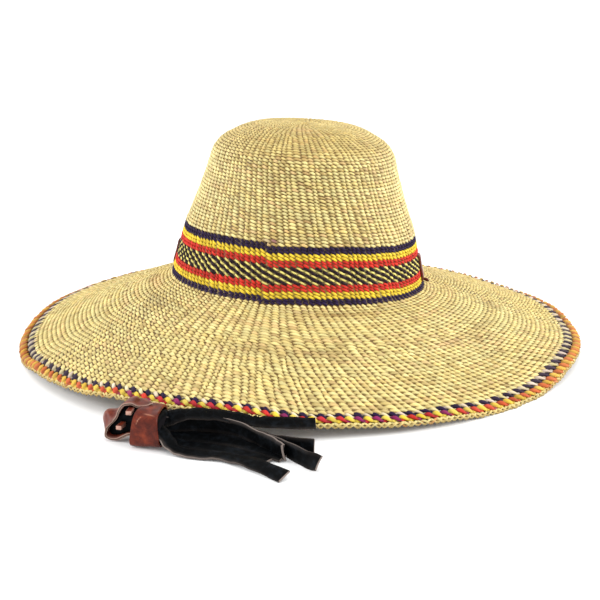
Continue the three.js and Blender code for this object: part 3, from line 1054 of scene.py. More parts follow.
        # Painted shade: the wall shows only through the gaps, so it is coloured dark and its mark darkens it
        # more.
        color = np.broadcast_to(self.gap_colors(levels), (around, 2 * rows, 3))
        fibre = np.zeros(rings.shape)
        fibre[..., 0] = np.arange(around)[:, None]
        skin = Skin()
        skin.tube(rings, color, fibre, np.array(0.3), around, closed=True)
        skin.build(name, self.straw, "straw")

    def button(self, skin: Skin) -> None:
        """Adds the knot of gathered straws in the middle of the crown's top: a low ribbed dome.

        Args:
            skin: the mesh that gets it.
        """
        bend = np.linspace(0, 360, 28, endpoint=False)
        rise, radius = np.array(self.button_profile).T[..., None]
        ribs, twist, depth = self.button_ribs
        ribbed = radius * (1 + depth * np.cos(np.radians(ribs * bend + twist * rise)))
        rings = self.form.ring(bend, ribbed, self.form.profile[-1, 1] + rise)
        color = np.broadcast_to(Dye.GOLDEN.color, (len(rise), 3))
        fibre = np.stack(np.broadcast_arrays(bend / 20, 0 * ribbed, radius), -1)
        # A little painted shade over the whole knot.
        skin.tube(rings, color, fibre, np.array(0.15), len(rise))

    def gap_colors(self, levels: Array) -> Array:
        """Colours of a core, painted shade: a darkened tone of the row in front, on both faces.

        Args:
            levels: turns of the core's rings.

        Returns:
            A colour for each ring of the outer face and then of the inner one.
        """
        dyes = np.array([np.mean([dye.color for dye in row], 0) for row in self.band_rows])
        row = (levels - self.band_first).astype(int)
        banded = (levels > self.band_first) & (row < len(dyes))
        plain = np.broadcast_to(Dye.GAP_SHADE.color, (len(levels), 3))
        dyed = 0.35 * dyes[np.clip(row, 0, len(dyes) - 1)]
        color = np.where(banded[:, None], dyed, plain)
        return np.concatenate([color, color[::-1]])

    def build(self) -> None:
        """Makes every zone's piece and the cores inside them."""
        skins: dict[str, Skin] = {}
        first = 0
        for zone in (*self.brim_zones, self.band_zone, self.side_zone, *self.top_zones):
            self.add_zone(skins.setdefault(zone.piece, Skin()), zone, first)
            first += zone.rows
        self.button(skins[self.top_zones[-1].piece])
        nodes = {"brim": "brim", "band": "woven_band", "crown": "crown"}
        for name, skin in skins.items():
            node = nodes[name.split("_")[0]]
            if node == "woven_band":
                skin.build(name, self.dyed, "dyed_band", node)
            else:
                skin.build(name, self.straw, "straw", node)
        self.core("brim_core", 0.0, self.brim_rows, 24, 150)
        self.core("crown_core", self.band_first - 0.5, first - 0.4, 50, 104)


@dataclass(frozen=True)
class RimRow:
    """One of the two twined rows of thick coloured strands.

    A pair of numbers is the size in front and behind, and what the hat's sides add to it.
    """

    node: str
    piece: str
    slot: str
    dyes: tuple[Dye, Dye]
    seed: int
    place: tuple[float, float]
    width: tuple[float, float]
    thickness: float
    girths: tuple
    swing: float

    def colors(self, strand: int, azimuth: Array) -> Array:
        """Colour of each stitch of a strand; the sides fade to orange and smoke.

        Args:
            strand: 0 or 1.
            azimuth: of each stitch.

        Returns:
            A linear colour for each stitch.
        """
        rng = np.random.default_rng(self.seed + 10 * strand + 1)
        count = len(azimuth)
        sides = np.clip(np.abs(np.cos(np.radians(azimuth))) * 1.8 - 0.8, 0, 1)
        behind = np.clip(np.sin(np.radians(azimuth)) * 1.4 + 0.1, 0, 1)
        color = np.tile(self.dyes[strand].color, (count, 1))
        odd = rng.random(count)
        if self.dyes[strand] is Dye.RED:
            color = mixed(color, Dye.MAGENTA.color, np.where(odd > 0.78, 0.9, 0.3 * odd))
        elif self.dyes[strand] is Dye.YELLOW:
            color = mixed(color, Dye.PALE.color, 0.5 * odd)
        elif self.dyes[strand] is Dye.BLUSH:
            color = mixed(color, Dye.NATURAL.color, 0.9 * odd)
        if self.node == "rim_bright_row":
            color = mixed(color, Dye.ORANGE.color, 0.72 * sides)
            color = mixed(color, Dye.BROWN.color, 0.5 * behind)
        else:
            color = mixed(color, Dye.SMOKE.color, (0.35, 0.3)[strand] * sides)
        return color * (1 + 0.18 * rng.uniform(-1, 1, (count, 1)))


@dataclass
class RimFinish:
    """The two coloured rows and the plait that ends the brim."""

    form: HatForm
    straw: bpy.types.Material
    dyed: bpy.types.Material
    stitches: int = 216
    steps: int = 6
    corners: int = 6
    plait_place: float = 1.7
    plait_waves: int = 96
    plait_steps: int = 10
    plait_swing: float = 1.4
    plait_lift: float = 0.9
    plait_halves: tuple[float, float] = (0.95, 1.05)
    # The flat edge inside the rows: from the rim's edge, below the surface, half thickness and width
    core_place: float = 8.0
    core_drop: float = 1.5
    core_halves: tuple[float, float] = (0.5, 6.6)
    rows: tuple[RimRow, ...] = (
        RimRow(
            "rim_dark_row", "rim_dark_stitches", "dark_row", (Dye.NAVY, Dye.BLUSH), 6000,
            (9.3, 2.1), (6.0, 2.6), 4.0, ((1.12, -0.16), (0.74, 0.24)), 0.29,
        ),
        RimRow(
            "rim_bright_row", "rim_bright_stitches", "bright_row", (Dye.RED, Dye.YELLOW), 7000,
            (5.8, -1.6), (5.8, 1.9), 4.8, ((1.05, 0), (1.05, 0)), 0.25,
        ),
    )

    def frame_at(self, from_edge: float | Array, azimuth: Array) -> tuple[Array, Array, Array]:
        """Points of a closed ring on the brim, with two directions at each.

        Args:
            from_edge: level distance from the rim's edge.
            azimuth: growing degrees that go once round.

        Returns:
            The points, the directions down the brim and those out of its upper face.
        """
        middle = self.form.rim_point(from_edge, azimuth)
        along = unit(np.roll(middle, -1, 0) - np.roll(middle, 1, 0))
        down = unit(self.form.rim_point(from_edge - 1, azimuth) - self.form.rim_point(from_edge + 1, azimuth))
        down = unit(down - along * (down * along).sum(1, keepdims=True))
        return middle, down, np.cross(down, along)

    def twined(self, row: RimRow) -> Skin:
        """One closed row of two strands, waved as the twining is but broader and steeper.

        Args:
            row: the row's sizes and dyes.

        Returns:
            The skin of both strands.
        """
        skin = Skin()
        count = self.stitches * self.steps
        u = np.arange(count) / self.steps
        azimuth = self.form.jog + 360 * u / self.stitches
        sides = sideways(azimuth)
        width = (row.width[0] + row.width[1] * sides)[:, None]
        middle, down, out = self.frame_at(row.place[0] + row.place[1] * sides, azimuth)
        angle = corner_angles(self.corners)
        stitch = np.round(u).astype(int) % self.stitches
        for strand in (0, 1):
            rng = np.random.default_rng(row.seed + 10 * strand)
            loose = rng.uniform(-1, 1, (4, self.stitches))[:, stitch, None]
            phase = np.pi * (u[:, None] + strand + 0.05 * loose[0])
            front = np.cos(phase)
            girth = (row.girths[strand][0] + row.girths[strand][1] * sides)[:, None]
            swell = (girth * (0.66 + 0.34 * front**2) * (1 + 0.14 * loose[1]))[..., None]
            centre = middle + out * (0.21 * row.thickness * front + 0.14 * loose[2] * front**2)
            centre = centre + down * (row.swing * width * np.sin(phase) + 0.25 * loose[3] * front**2)
            halves = 0.28 * row.thickness * swell, 0.36 * width[..., None] * swell
            rings = oval_rings(centre, (out, down), halves, angle)
            color = row.colors(strand, self.form.jog + 360 * np.arange(self.stitches) / self.stitches)[stitch]
            fibre = strand_fibre(angle, u * 6.4 + 900 * strand, 1.6)
            # Painted shade where the two strands cross.
            crevice_shade = np.clip(0.7 * (1 - np.abs(front)) - 0.12, 0, 0.5)
            skin.tube(rings, color, fibre, crevice_shade, count // 6, closed=True)
        return skin

    def plait(self) -> Skin:
        """The outer plait: three strands that cross in turn.

        Each strand swings down the brim as a sine and lifts at twice that rate, a third of a
        wave behind the one before.

        Returns:
            The skin of the three strands.
        """
        skin = Skin()
        count = self.plait_waves * self.plait_steps
        azimuth = self.form.jog + 360 * np.arange(count) / count
        sides = sideways(azimuth)
        middle, down, out = self.frame_at(self.plait_place + 0.9 * sides, azimuth)
        middle = middle - out * (0.9 + 1.1 * sides)[:, None]
        turn = 2 * np.pi * self.plait_waves * np.arange(count) / count
        angle = corner_angles(self.corners, 0)
        for strand in range(3):
            seed = 8000 + strand
            uneven = 0.42 * wander(count, count // 6, seed)[:, None]
            phase = (turn + 2 * np.pi * strand / 3)[:, None] + uneven
            centre = middle + down * (self.plait_swing * np.sin(phase) + uneven)
            centre = centre + out * (self.plait_lift * np.cos(2 * phase) + uneven)
            thick = 1 + 0.3 * wander(count, count // 5, seed + 20)[:, None, None]
            rings = oval_rings(centre, (out, down), [half * thick for half in self.plait_halves], angle)
            rings[..., 2] = np.maximum(rings[..., 2], 0.0)
            rng = np.random.default_rng(seed + 40)
            piece = np.arange(count) // (self.plait_steps // 2)
            tint = rng.random(piece[-1] + 1)[piece]
            color = mixed(np.tile(Dye.NATURAL.color, (count, 1)), Dye.GOLDEN.color, 0.7 * tint)
            color = mixed(color, Dye.ORANGE.color, 0.5 * sides * tint)
            color = mixed(color, Dye.RED.color, np.where(tint > 0.93, 0.5, 0))
            fibre = strand_fibre(angle, np.arange(count) * 1.2 + 400 * strand, 1.2)
            # Painted shade where a strand lies low under the others.
            crevice_shade = np.clip(0.4 - 0.45 * np.cos(2 * phase), 0, 0.8)
            skin.tube(rings, color, fibre, crevice_shade, count // 4, closed=True)
        return skin

    def core(self, skin: Skin) -> None:
        """Adds the brim's flat edge inside the two rows and the plait, coloured in painted shade.

        Args:
            skin: the mesh that gets it.
        """
        around = 240
        azimuth = np.linspace(0, 360, around, endpoint=False)
        middle, down, out = self.frame_at(self.core_place, azimuth)
        angle = corner_angles(12)
        thick = self.core_halves[0] * np.cos(angle)[:, None]
        wide = self.core_halves[1] * signed_power(np.sin(angle), 0.6)[:, None]
        rings = (middle - out * self.core_drop)[:, None] + out[:, None] * thick + down[:, None] * wide
        color = np.broadcast_to(Dye.GAP_SHADE.color, (around, 3))
        skin.tube(rings, color, rings, np.array(0.3), around, closed=True)

    def build(self) -> None:
        """Makes the two rows and the plait."""
        for row in self.rows:
            self.twined(row).build(row.piece, self.dyed, row.slot, row.node)
        plait = self.plait()
        self.core(plait)
        plait.build("rim_plait_strands", self.straw, "straw", "rim_plait")


# Leather


def strip_section(width: float, thickness: float) -> tuple[Array, Array]:
    """A strip's cross-section, right-handed, and how much each point is cut edge.

    The top face runs from the far to the near side, each cut side has three points.

    Args:
        width: across the strip.
        thickness: of the leather.

    Returns:
        Points as (across, through) and a number from 0 to 1 for each.
    """
    bevel = 0.16 * thickness
    half, top = width / 2, thickness / 2
    across = np.array([half - bevel, 0.5 * half, 0, -0.5 * half, -half + bevel])
    face = np.stack([across, np.full(5, top)], 1)
    side = np.array([[-half, top - bevel], [0.3 * bevel - half, 0], [-half, bevel - top]])
    points = np.vstack([face, side, -face, -side])
    cut = np.array([0.2, 0, 0, 0, 0.2, 1, 1, 1] * 2)
    return points, cut


def sweep(centre: Array, wide: Array, section: Array) -> tuple[Array, Array, Array]:
    """Carries a section along a path with its width along a given direction.

    Args:
        centre: the path.
        wide: direction of the section's width at each point.
        section: points as (across, through), one set for all or one for each path point.

    Returns:
        Rings of points, the thickness directions and the lengths along the path.
    """
    along = unit(np.gradient(centre, axis=0))
    wide = unit(wide - along * (wide * along).sum(1, keepdims=True))
    thick = np.cross(along, wide)
    section = np.broadcast_to(section, (len(centre), *section.shape[-2:]))
    rings = centre[:, None] + wide[:, None] * section[..., :1] + thick[:, None] * section[..., 1:]
    length = np.concatenate([[0], np.cumsum(np.linalg.norm(np.diff(centre, axis=0), axis=1))])
    return rings, thick, length


def leather_tube(skin: Skin, rings: Array, cut: Array, length: Array, edge: Array) -> None:
    """Adds leather rings to a skin, with their cut edges marked and both ends raw.

    A smaller ring is put past each end, so that the end is a flat face with a worn border.

    Args:
        skin: the mesh that gets them.
        rings: the points.
        cut: how much each of a ring's points is cut edge, for all rings or for each.
        length: of the path at each ring.
        edge: the raw edge's linear colour, or one for each of a ring's points.
    """
    worn = []
    for end, beside in ((0, 1), (-1, -2)):
        middle = rings[end].mean(0)
        past = unit(middle - rings[beside].mean(0)) * 0.25
        worn.append(middle + (rings[end] - middle) * 0.86 + past)
    mark = np.broadcast_to(cut, rings.shape[:2])
    mark = np.concatenate([np.ones_like(mark[:1]), mark, np.ones_like(mark[:1])])
    rings = np.concatenate([worn[:1], rings, worn[1:]])
    length = np.concatenate([length[:1], length, length[-1:]])
    count, corners = rings.shape[:2]
    fibre = np.stack([np.broadcast_to(np.arange(corners) * 1.0, (count, corners))] * 2, -1)
    fibre = np.concatenate([fibre, np.broadcast_to(length[:, None, None], (count, corners, 1))], -1)
    skin.tube(rings, np.broadcast_to(edge, (count, corners, 3)), fibre, mark, count)


@dataclass
class StrapAnchor:
    """A strip of leather that passes through two slits of the band and holds the chin strap."""

    form: HatForm
    material: bpy.types.Material
    azimuth: float
    side: str
    width: float = 11.0
    thickness: float = 1.5
    path: tuple = (
        (88.5, 22.8), (91.5, 23.4), (94.2, 23.3), (95.6, 22), (96.4, 18.5), (97.9, 12), (99.2, 6.8),
        (99.3, 4.6), (98.3, 3.4), (95, 3.2), (91.6, 3.2),
    )
    knot: tuple = ()

    def build(self) -> None:
        """Sweeps the strip along its path, which lies in one upright plane of the crown's frame.

        A knot is a short thick end beside the strip's foot.
        """
        line = catmull(np.array(self.path, float), 6)
        centre = self.form.ring(np.full(len(line), self.azimuth), line[:, 0], line[:, 1])
        ahead = self.form.ring(np.full(len(line), self.azimuth + 1.0), line[:, 0], line[:, 1])
        section, cut = strip_section(self.width, self.thickness)
        rings, thick, length = sweep(centre, ahead - centre, section)
        puff = 0.15 * wander(rings.shape[0] * rings.shape[1], 90, 31).reshape(rings.shape[:2])
        rings = rings + thick[:, None] * puff[..., None]
        skin = Skin()
        leather_tube(skin, rings, 0.6 * cut, length, RawEdge.ANCHOR.color)
        if self.knot:
            stub = catmull(np.array(self.knot, float), 5)
            girth = 0.8 + 0.5 * np.sin(np.linspace(0.4, 2.8, len(stub)))[:, None, None]
            bend = corner_angles(8, 0)
            round_section = np.stack([np.cos(bend), np.sin(bend)], -1) * girth
            rings, _, length = sweep(stub, np.broadcast_to(UP, stub.shape), round_section)
            leather_tube(skin, rings, np.zeros(8), length, RawEdge.KNOT.color)
        skin.build(f"anchor_leather_{self.side}", self.material, "brown_leather", f"strap_anchor_{self.side}")


@dataclass
class Thong:
    """Half of the chin strap: a flat-cut leather thong from its anchor to the tassel's loop."""

    side: str
    route: tuple
    material: bpy.types.Material
    width: float = 4.2
    thickness: float = 3.0

    def build(self) -> tuple[bpy.types.Object, Array]:
        """Sweeps a rounded section along the route.

        Returns:
            The thong and the points of its centreline, in millimetres.
        """
        centre = catmull(np.array(self.route, float), 10)
        along = unit(np.gradient(centre, axis=0))
        level = np.cross(UP, along)
        steep = np.linalg.norm(level, axis=1) < 0.35
        level[steep] = level[np.argmax(~steep)]
        points, cut = strip_section(self.width, self.thickness)
        rings, thick, length = sweep(centre, level, points * 0.98)
        rings = rings + thick[:, None] * (0.12 * wander(len(centre), 60, 5)[:, None, None])
        skin = Skin()
        leather_tube(skin, rings, 0.4 * cut, length, RawEdge.THONG.color)
        name = f"thong_{self.side}"
        return skin.build(name, self.material, "brown_leather", f"chin_strap_{self.side}"), centre


@dataclass
class Tassel:
    """The leather tassel in its own frame: along its length, aside towards the back, and up."""

    brown: bpy.types.Material
    black: bpy.types.Material
    place: tuple[float, float] = (-101.0, -231.0)
    turn: float = -18.0
    sleeve_length: float = 21.0
    half_depth: float = 16.0
    half_height: float = 11.8
    sleeve_wall: float = 1.6
    squareness: float = 3.6
    clearance: float = 0.3
    loop_width: float = 12.0
    loop_thickness: float = 2.1
    strip_width: float = 11.5
    strip_thickness: float = 1.5
    # The loop's near edge as along, aside and up, then the direction of its width
    loop_path: tuple = (
        (-6, -5.5, 6.8, 0, 12, 0), (-12.4, -6, 6.3, 0, 12, 0), (-17, -6, 4, 0, 12, 1),
        (-21.6, -6, 1.7, -3, 9, 3), (-26.2, -6, 2.6, -5, 7, 4.5), (-28.2, -6, 6.7, -4, 7.7, 7),
        (-25.7, -6, 11.4, -4, 7, 7), (-21, -6, 16.8, -4, 9, 2), (-18.8, -6, 22, 0, 12, 0),
        (-15.5, -6, 26.6, 0, 12, 0.5), (-11.1, -5.5, 28, 0, 12, 0.5), (-7.6, -4, 26.9, 1, 12, 0),
        (-5, -1, 26.4, 2, 12, 0), (-3, 1, 26.4, 2, 12, 0),
    )
    # Each strip of the fringe: along, aside, up and the lean of its width in degrees
    strips: dict[str, tuple] = field(
        default_factory=lambda: {
            "upper": (
                (4, 2, 14.6, 50), (12, 4.2, 16.6, 40), (19, 8, 18.8, 30), (28.2, 13.4, 19.2, 23),
                (40.6, 20.2, 17.2, 22), (55.9, 23.6, 15, 24), (81.7, 30.2, 13, 24), (104.2, 39.4, 11.4, 18),
            ),
            "curling": (
                (4, 1, 13, 80), (12, 5, 12.2, 85), (24.1, 11.5, 12, 82), (39.2, 17.5, 11.4, 80),
                (57.8, 17.5, 9.8, 84), (74.6, 9.5, 7.8, 88), (88.3, 2.2, 6.6, 90), (95.5, -3, 6.4, 92),
                (96.6, -6.4, 6.4, 100),
            ),
            "rear": (
                (4, 5, 10.5, 80), (12, 8.5, 10, 82), (24.1, 15.5, 8.6, 85), (39.2, 21.4, 7.2, 88),
                (57.8, 21.6, 6.4, 90), (74.6, 15, 6, 90), (88.3, 10.5, 6, 90), (112.1, 11.4, 5.9, 88),
            ),
            "middle": (
                (4, 3, 9.5, 80), (24.1, 13.5, 7.4, 85), (39.2, 19.4, 6.6, 88), (57.8, 19.6, 6.2, 90),
                (74.6, 12.2, 6, 90), (88.3, 6, 6, 88), (103, -3.2, 5.8, 85), (114, -10, 5.2, 70),
                (123.6, -15, 5.6, 55),
            ),
            "lying_back": (
                (4, 1, 7.5, 20), (22, 5, 5, 25), (40, 10.5, 3.6, 18), (60, 10.5, 2.6, 12), (80, 2, 2, 8),
                (96, -3, 1.6, 5),
            ),
            "lying_front": (
                (4, -3, 6, 10), (22, -4, 3.6, 8), (40, -2, 2.4, 6), (60, -3, 1.8, 6), (88, -11, 1.5, 4),
            ),
            "front": (
                (4, -5, 13.6, 20), (12, -8, 12, 15), (18, -11, 7.6, 4), (25, -13.5, 3, 0),
                (41.7, -15.5, 2.2, 6), (58, -14, 2.6, 6), (72, -18, 3.2, 10), (86, -24.5, 3.4, 20),
                (107.5, -36.5, 3.4, 26),
            ),
        }
    )

    # Plugs of folded strips, as along, half depth, middle height and half height
    head: tuple = (
        (-5.4, 2, 12.1, 1.5), (-5.2, 12.8, 12.1, 9), (-4, 13.8, 12.1, 9.8), (5, 13.8, 12.1, 10),
        (9, 13.8, 12.2, 10), (10.2, 12.6, 12.2, 9.2), (11, 10, 12.2, 7.4),
    )
    fold: tuple = (
        (-28, 1.6, 6.8, 2.2), (-26.4, 3, 7, 4), (-23.9, 3.6, 8.5, 5.6), (-21.1, 3.6, 10.5, 7),
        (-19.2, 3.8, 12.5, 8.3), (-17.4, 3.8, 14.4, 9.4),
        (-12, 4, 16.4, 10.8), (-8.5, 4, 15.6, 9.8), (-6, 4, 15, 8.6),
    )
    # Creases on the sleeve, raised and with painted highlights along them: place along it, angle round it,
    # half length and slope
    creases: tuple = (
        (0.5, 125, 0.3, 0.18), (-0.05, 152, 0.07, -3), (-0.14, 161, 0.06, -2.6), (0.02, 145, 0.05, -2.2),
        (0.3, 75, 0.5, -0.3), (0.1, 40, 0.5, 0.3), (-0.4, 330, 0.4, 0.8),
    )
    # How pale a strip's cut sides look, partly cut edge and partly painted highlight: the far or upper one,
    # the near or lower one, and both ends' share
    raw_and_lit_sides: dict[str, tuple] = field(
        default_factory=lambda: {
            "front": (0.1, 0.9, 0.1), "upper": (0.15, 0.15, 0.15), "middle": (0.6, 0.15, 0.3),
            "curling": (0.85, 0.3, 0.85),
        }
    )

    def world(self, local: Array) -> Array:
        """Carries points from the tassel's frame into the part's.

        Args:
            local: points as along, aside and up.

        Returns:
            The points in the part's frame.
        """
        angle = np.radians(self.turn)
        axes = np.array([[np.cos(angle), np.sin(angle), 0], [-np.sin(angle), np.cos(angle), 0], [0, 0, 1]])
        return local @ axes + np.array([*self.place, 0.0])

    def strip(self, skin: Skin, stations: tuple, seed: int, raw: tuple) -> None:
        """Adds one strip of the fringe, a little cupped, wavy and uneven along its edges.

        Args:
            skin: the mesh that gets it.
            stations: rows of along, aside, up and lean.
            seed: seed of its unevenness.
            raw: how pale its cut sides look, from 0 to 1, partly cut edge and partly painted highlight: far
                or upper, near or lower, free end.
        """
        curve = catmull(np.array(stations, float), 12)
        centre, lean = curve[:, :3], np.radians(curve[:, 3:])
        along = unit(np.gradient(centre, axis=0))
        wide = unit(np.cross(UP, along)) * np.cos(lean) + UP * np.sin(lean)
        section, cut = strip_section(self.strip_width, self.strip_thickness)
        count = len(centre)
        across = section[None, :, :1] * (0.95 + 0.07 * wander(count, count // 5, seed)[:, None, None])
        share = section[:, 0] / (self.strip_width / 2)
        cup = 0.7 * wander(count, count // 12, seed + 1)[:, None] * (share**2 - 0.4)[None, :]
        ripple = 0.45 * wander(count, count // 4, seed + 2)[:, None] * share[None, :]
        ripple = ripple + 0.3 * wander(count, count // 3, seed + 3)[:, None]
        through = section[None, :, 1] + cup + ripple
        rings, _, length = sweep(centre, wide, np.concatenate([across, through[..., None]], -1))
        rings[..., 2] += max(self.clearance - rings[..., 2].min(), 0)
        far, near, end = raw
        # Paleness of each cut side: the cut edge's colour, partly a painted highlight.
        worn = np.where(section[:, 0] > 0, far, near)[None, :]
        share = np.clip(1.8 * np.linspace(0, 1, count) - 0.7, 0, 1)[:, None]
        cut = cut * (worn * (1 - share) + end * share)
        leather_tube(skin, self.world(rings), cut, length, RawEdge.STRIP.color)

    def sleeve(self) -> Skin:
        """The wrapped sleeve: a superellipse tube, its outer and inner faces one closed section.

        The section is carried round the tassel: at each angle a rounded bar runs along the
        sleeve, from x = -1 to 1. The sleeve is a little taller at its left end, its ends aren't
        quite square, and a few narrow creases stand out on its near face.

        Returns:
            The skin.
        """
        around, steps = 112, 26
        bend = corner_angles(around, 0)[:, None]
        face = np.concatenate([[-1, -0.97], np.linspace(-0.92, 0.92, steps), [0.97, 1.0]])
        inset = np.concatenate([[0.5, 0.08], np.zeros(steps), [0.08, 0.5]])
        x = np.concatenate([face, face[::-1]])[None, :]
        inset = np.concatenate([inset, (self.sleeve_wall - 0.6 * inset)[::-1]])[None, :]
        outer = np.arange(x.shape[1])[None, :] < len(face)
        rut = np.zeros((around, x.shape[1]))
        for at, angle, length, slope in self.creases:
            across = (bend - np.radians(angle)) * 14 - slope * (x - at) * self.sleeve_length / 2
            rut += np.exp(-((across / 0.45) ** 2) - ((x - at) / length) ** 4)
        swell = 0.3 * np.sin(5 * bend + 3.2 * x) * np.exp(-((x - 0.2) ** 2) / 0.5) + 0.3 * rut
        inset = inset - np.where(outer, swell - 0.1, 0)
        power = 2 / self.squareness
        aside = (self.half_depth - inset) * signed_power(np.cos(bend), power)
        rise = (self.half_height - inset) * signed_power(np.sin(bend), power)
        rise = rise * (1.09 - 0.06 * x)
        left_end = 5.0 + 0.18 * rise + 0.05 * aside
        ends = np.where(x < 0, left_end, 0.2 - 0.09 * rise - 0.16 * aside)
        along = x * self.sleeve_length / 2 + x**2 * ends
        height = rise + self.half_height * 1.09 + self.clearance
        rings = self.world(np.stack([along, aside, np.maximum(height, 0.1)], -1))
        fibre = np.stack([along, aside, height], -1)
        # Painted highlight: pale lines along the creases in the crease colour.
        cut = np.clip(0.8 * rut * outer, 0, 0.8)
        edge = np.tile(RawEdge.CREASE_HIGHLIGHT.color, (around, 1))
        skin = Skin()
        skin.tube(rings[:, ::-1], edge, fibre[:, ::-1], cut[:, ::-1], around, closed=True)
        return skin

    def plug(self, skin: Skin, table: tuple) -> None:
        """Adds a superellipse plug of folded leather inside the sleeve or the loop.

        Args:
            skin: the mesh that gets it.
            table: rows of along, half depth, middle height and half height.
        """
        stations = np.array(table, float)
        bend = corner_angles(40)
        power = 2 / self.squareness
        aside = stations[:, 1:2] * signed_power(np.cos(bend), power)
        up = stations[:, 3:] * signed_power(np.sin(bend), power) + stations[:, 2:3]
        rings = np.stack([np.broadcast_to(stations[:, :1], aside.shape), aside, up], -1)
        leather_tube(skin, self.world(rings), np.zeros(40), stations[:, 0], RawEdge.FOLD.color)

    def build(self) -> list[bpy.types.Object]:
        """Makes the loop, the sleeve and the fringe.

        Returns:
            The loop and the sleeve, which are on the chin strap.
        """
        curve = catmull(np.array(self.loop_path, float), 8)
        wide = unit(curve[:, 3:])
        section, cut = strip_section(self.loop_width, self.loop_thickness)
        rings, thick, length = sweep(curve[:, :3] + wide * self.loop_width / 2, wide, section)
        rings = rings + thick[:, None] * (0.15 * wander(len(curve), 24, 77)[:, None, None])
        rings[..., 2] = np.maximum(rings[..., 2], self.clearance)
        split = np.where(np.abs(section[:, 1:]) < 0.1, RawEdge.SPLIT.color, RawEdge.LOOP.color)
        loop_skin = Skin()
        leather_tube(loop_skin, self.world(rings), cut, length, split)
        loop = loop_skin.build("loop_leather", self.brown, "brown_leather", "tassel_loop")
        sleeve = self.sleeve().build("sleeve_leather", self.brown, "brown_leather", "tassel_wrap")
        fringe_skin = Skin()
        self.plug(fringe_skin, self.head)
        self.plug(fringe_skin, self.fold)
        for number, (name, stations) in enumerate(self.strips.items()):
            raw = self.raw_and_lit_sides.get(name, (0.07, 0.05, 0.25))
            self.strip(fringe_skin, stations, 50 + 7 * number, raw)
        fringe_skin.build("fringe_leather", self.black, "black_leather", "tassel_fringe")
        return [loop, sleeve]


@dataclass
class ChinStrap:
    """The whole strap: two thongs that run under the hat and meet in the tassel's loop."""

    material: bpy.types.Material
    right: tuple = (
        (88.5, -9.5, 52.5), (83, -9.5, 52), (78, -11, 47), (75, -16, 36), (71, -26, 22), (64, -41, 9),
        (52, -60, 3), (34, -82, 2.2), (8, -106, 2.2), (-22, -128, 2.2), (-54, -150, 2.2), (-80, -171, 2.2),
        (-96, -187, 2.2), (-102.5, -197, 2.8), (-106, -204.5, 6.5), (-108.3, -211.5, 13.5),
        (-110, -217.5, 19.6), (-110.9, -222.5, 22.6), (-111.5, -228, 23.8), (-113.1, -239.6, 24),
    )
    left: tuple = (
        (-92.2, 9.5, 61.4), (-86.5, 9, 61), (-82, 7, 56), (-80.5, 2, 45), (-82, -8, 30), (-87, -22, 14),
        (-93, -40, 4.5), (-99, -62, 2.2), (-105, -90, 2.2), (-109, -120, 2.2), (-112, -150, 2.2),
        (-114.5, -176, 2.2), (-115.5, -194, 2.2), (-115.2, -205, 3.2), (-115, -212, 6.5),
        (-115.4, -218, 10.4), (-116.4, -223.5, 12.4), (-117.4, -228, 13), (-120.1, -238, 13.1),
    )

    def build(self, tassel: list[bpy.types.Object]) -> None:
        """Args:
            tassel: the pieces that hang on the strap; not used.
        """
        ends = ("right", self.right, "fitting", tassel), ("left", self.left, "bare", [])
        for side, route, end, pieces in ends:
            thong = Thong(side, route, self.material)
            piece, line = thong.build()


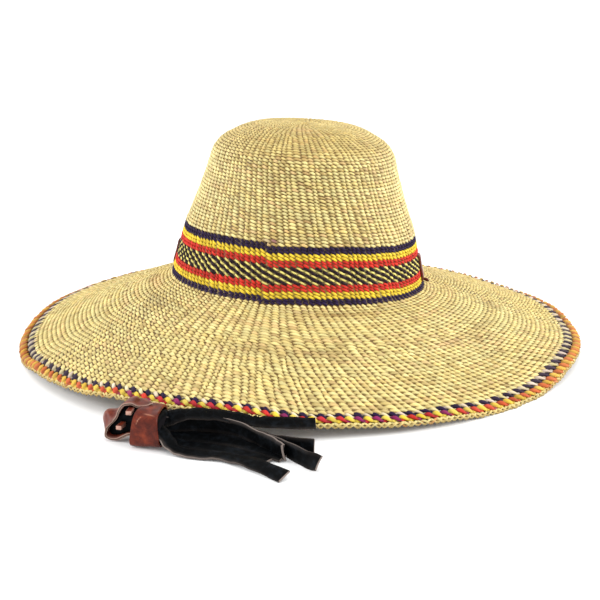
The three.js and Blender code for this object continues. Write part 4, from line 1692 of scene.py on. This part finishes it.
@dataclass
class Studio:
    """A pale floor, soft lights and the camera at the photograph's angle."""

    target: tuple[float, float, float] = (0.0, 0.0, 0.033)
    distance: float = 1.3
    elevation: float = 16.0
    lens: float = 97.5
    sensor: float = 36.0
    floor_size: float = 40.0
    sky: float = 1.2
    # Each lamp's name, place, side in metres and power in watts
    lamps: tuple = (
        ("top", (0.0, -0.7, 1.9), 0.8, 3.0), ("left", (-1.8, -0.3, 0.8), 0.9, 26.0),
        ("right", (1.8, -0.3, 0.8), 0.9, 34.0),
    )

    def aim(self, thing: bpy.types.Object, place: tuple) -> None:
        """Puts a lamp or the camera in its place and turns it to the target."""
        thing.location = place
        thing.rotation_euler = (Vector(self.target) - Vector(place)).to_track_quat("-Z", "Y").to_euler()

    def camera(self) -> None:
        """Makes the camera, in front of the hat and looking down at it a little."""
        data = bpy.data.cameras.new("camera")
        data.lens, data.sensor_width, data.clip_end = self.lens, self.sensor, 100.0
        camera = place_object("camera", data)
        angle = np.radians(self.elevation)
        back = Vector((0.0, -np.cos(angle), np.sin(angle)))
        self.aim(camera, Vector(self.target) + back * self.distance)
        bpy.context.scene.camera = camera

    def build(self) -> None:
        """Makes the floor, the world and the lamps."""
        half = self.floor_size / 2
        corners = [(-half, -half, 0), (half, -half, 0), (half, half, 0), (-half, half, 0)]
        mesh = bpy.data.meshes.new("floor")
        mesh.from_pydata(corners, [], [(0, 1, 2, 3)])
        place_object("floor", mesh)
        paper = new_material("white_paper")
        white = (1.0, 1.0, 1.0, 1)
        tone = {"Base Color": (0.85, 0.85, 0.85, 1), "Roughness": 0.9}
        add_node(paper, SHADER, {**tone, "Emission Color": white, "Emission Strength": 0.05}, {})
        mesh.materials.append(paper)
        world = bpy.data.worlds.new("studio")
        world.use_nodes = True
        add_node(world, "Background", {"Color": white, "Strength": self.sky}, {})
        bpy.context.scene.world = world
        bpy.context.scene.view_settings.view_transform = "Standard"
        for name, place, size, power in self.lamps:
            data = bpy.data.lights.new(name, "AREA")
            data.size, data.energy = size, power
            self.aim(place_object(name, data), place)


def main() -> None:
    """Builds the camera and cords first, then the straw."""
    logging.basicConfig(level=logging.INFO, format="%(name)s: %(message)s")
    studio = Studio()
    studio.camera()
    brown = LeatherFinish(
        "oiled_goat_leather", skin="561f13", dark="39110a", light="7d341d", gloss=0.36, shine=0.16
    )
    # The black leather's light tone and pale creases are painted sheen streaks.
    black = LeatherFinish(
        "dyed_black_leather", skin="040506", dark="020203", light="15191e", gloss=0.52, shine=0.03, crease_wear_and_sheen=0.3
    )
    straw = StrawFinish("dry_straw").make()
    # Near-black painted shade in the dyed rows' crossings.
    dyed = StrawFinish("dyed_straw", shine=0.13, crevice_shade="1c1214").make()
    brown_leather, black_leather = brown.make(), black.make()
    form = HatForm()
    ChinStrap(brown_leather).build(Tassel(brown_leather, black_leather).build())
    knot = ((97.5, -9.5, 53.4), (99.2, -10, 53), (100.4, -10.5, 52.6), (101.2, -11.2, 52.1))
    StrapAnchor(form, brown_leather, -6.0, "right", knot=knot).build()
    StrapAnchor(form, brown_leather, 172.0, "left").build()
    Twining(form, straw, dyed).build()
    RimFinish(form, straw, dyed).build()
    studio.build()


if __name__ == "__main__":
    main()
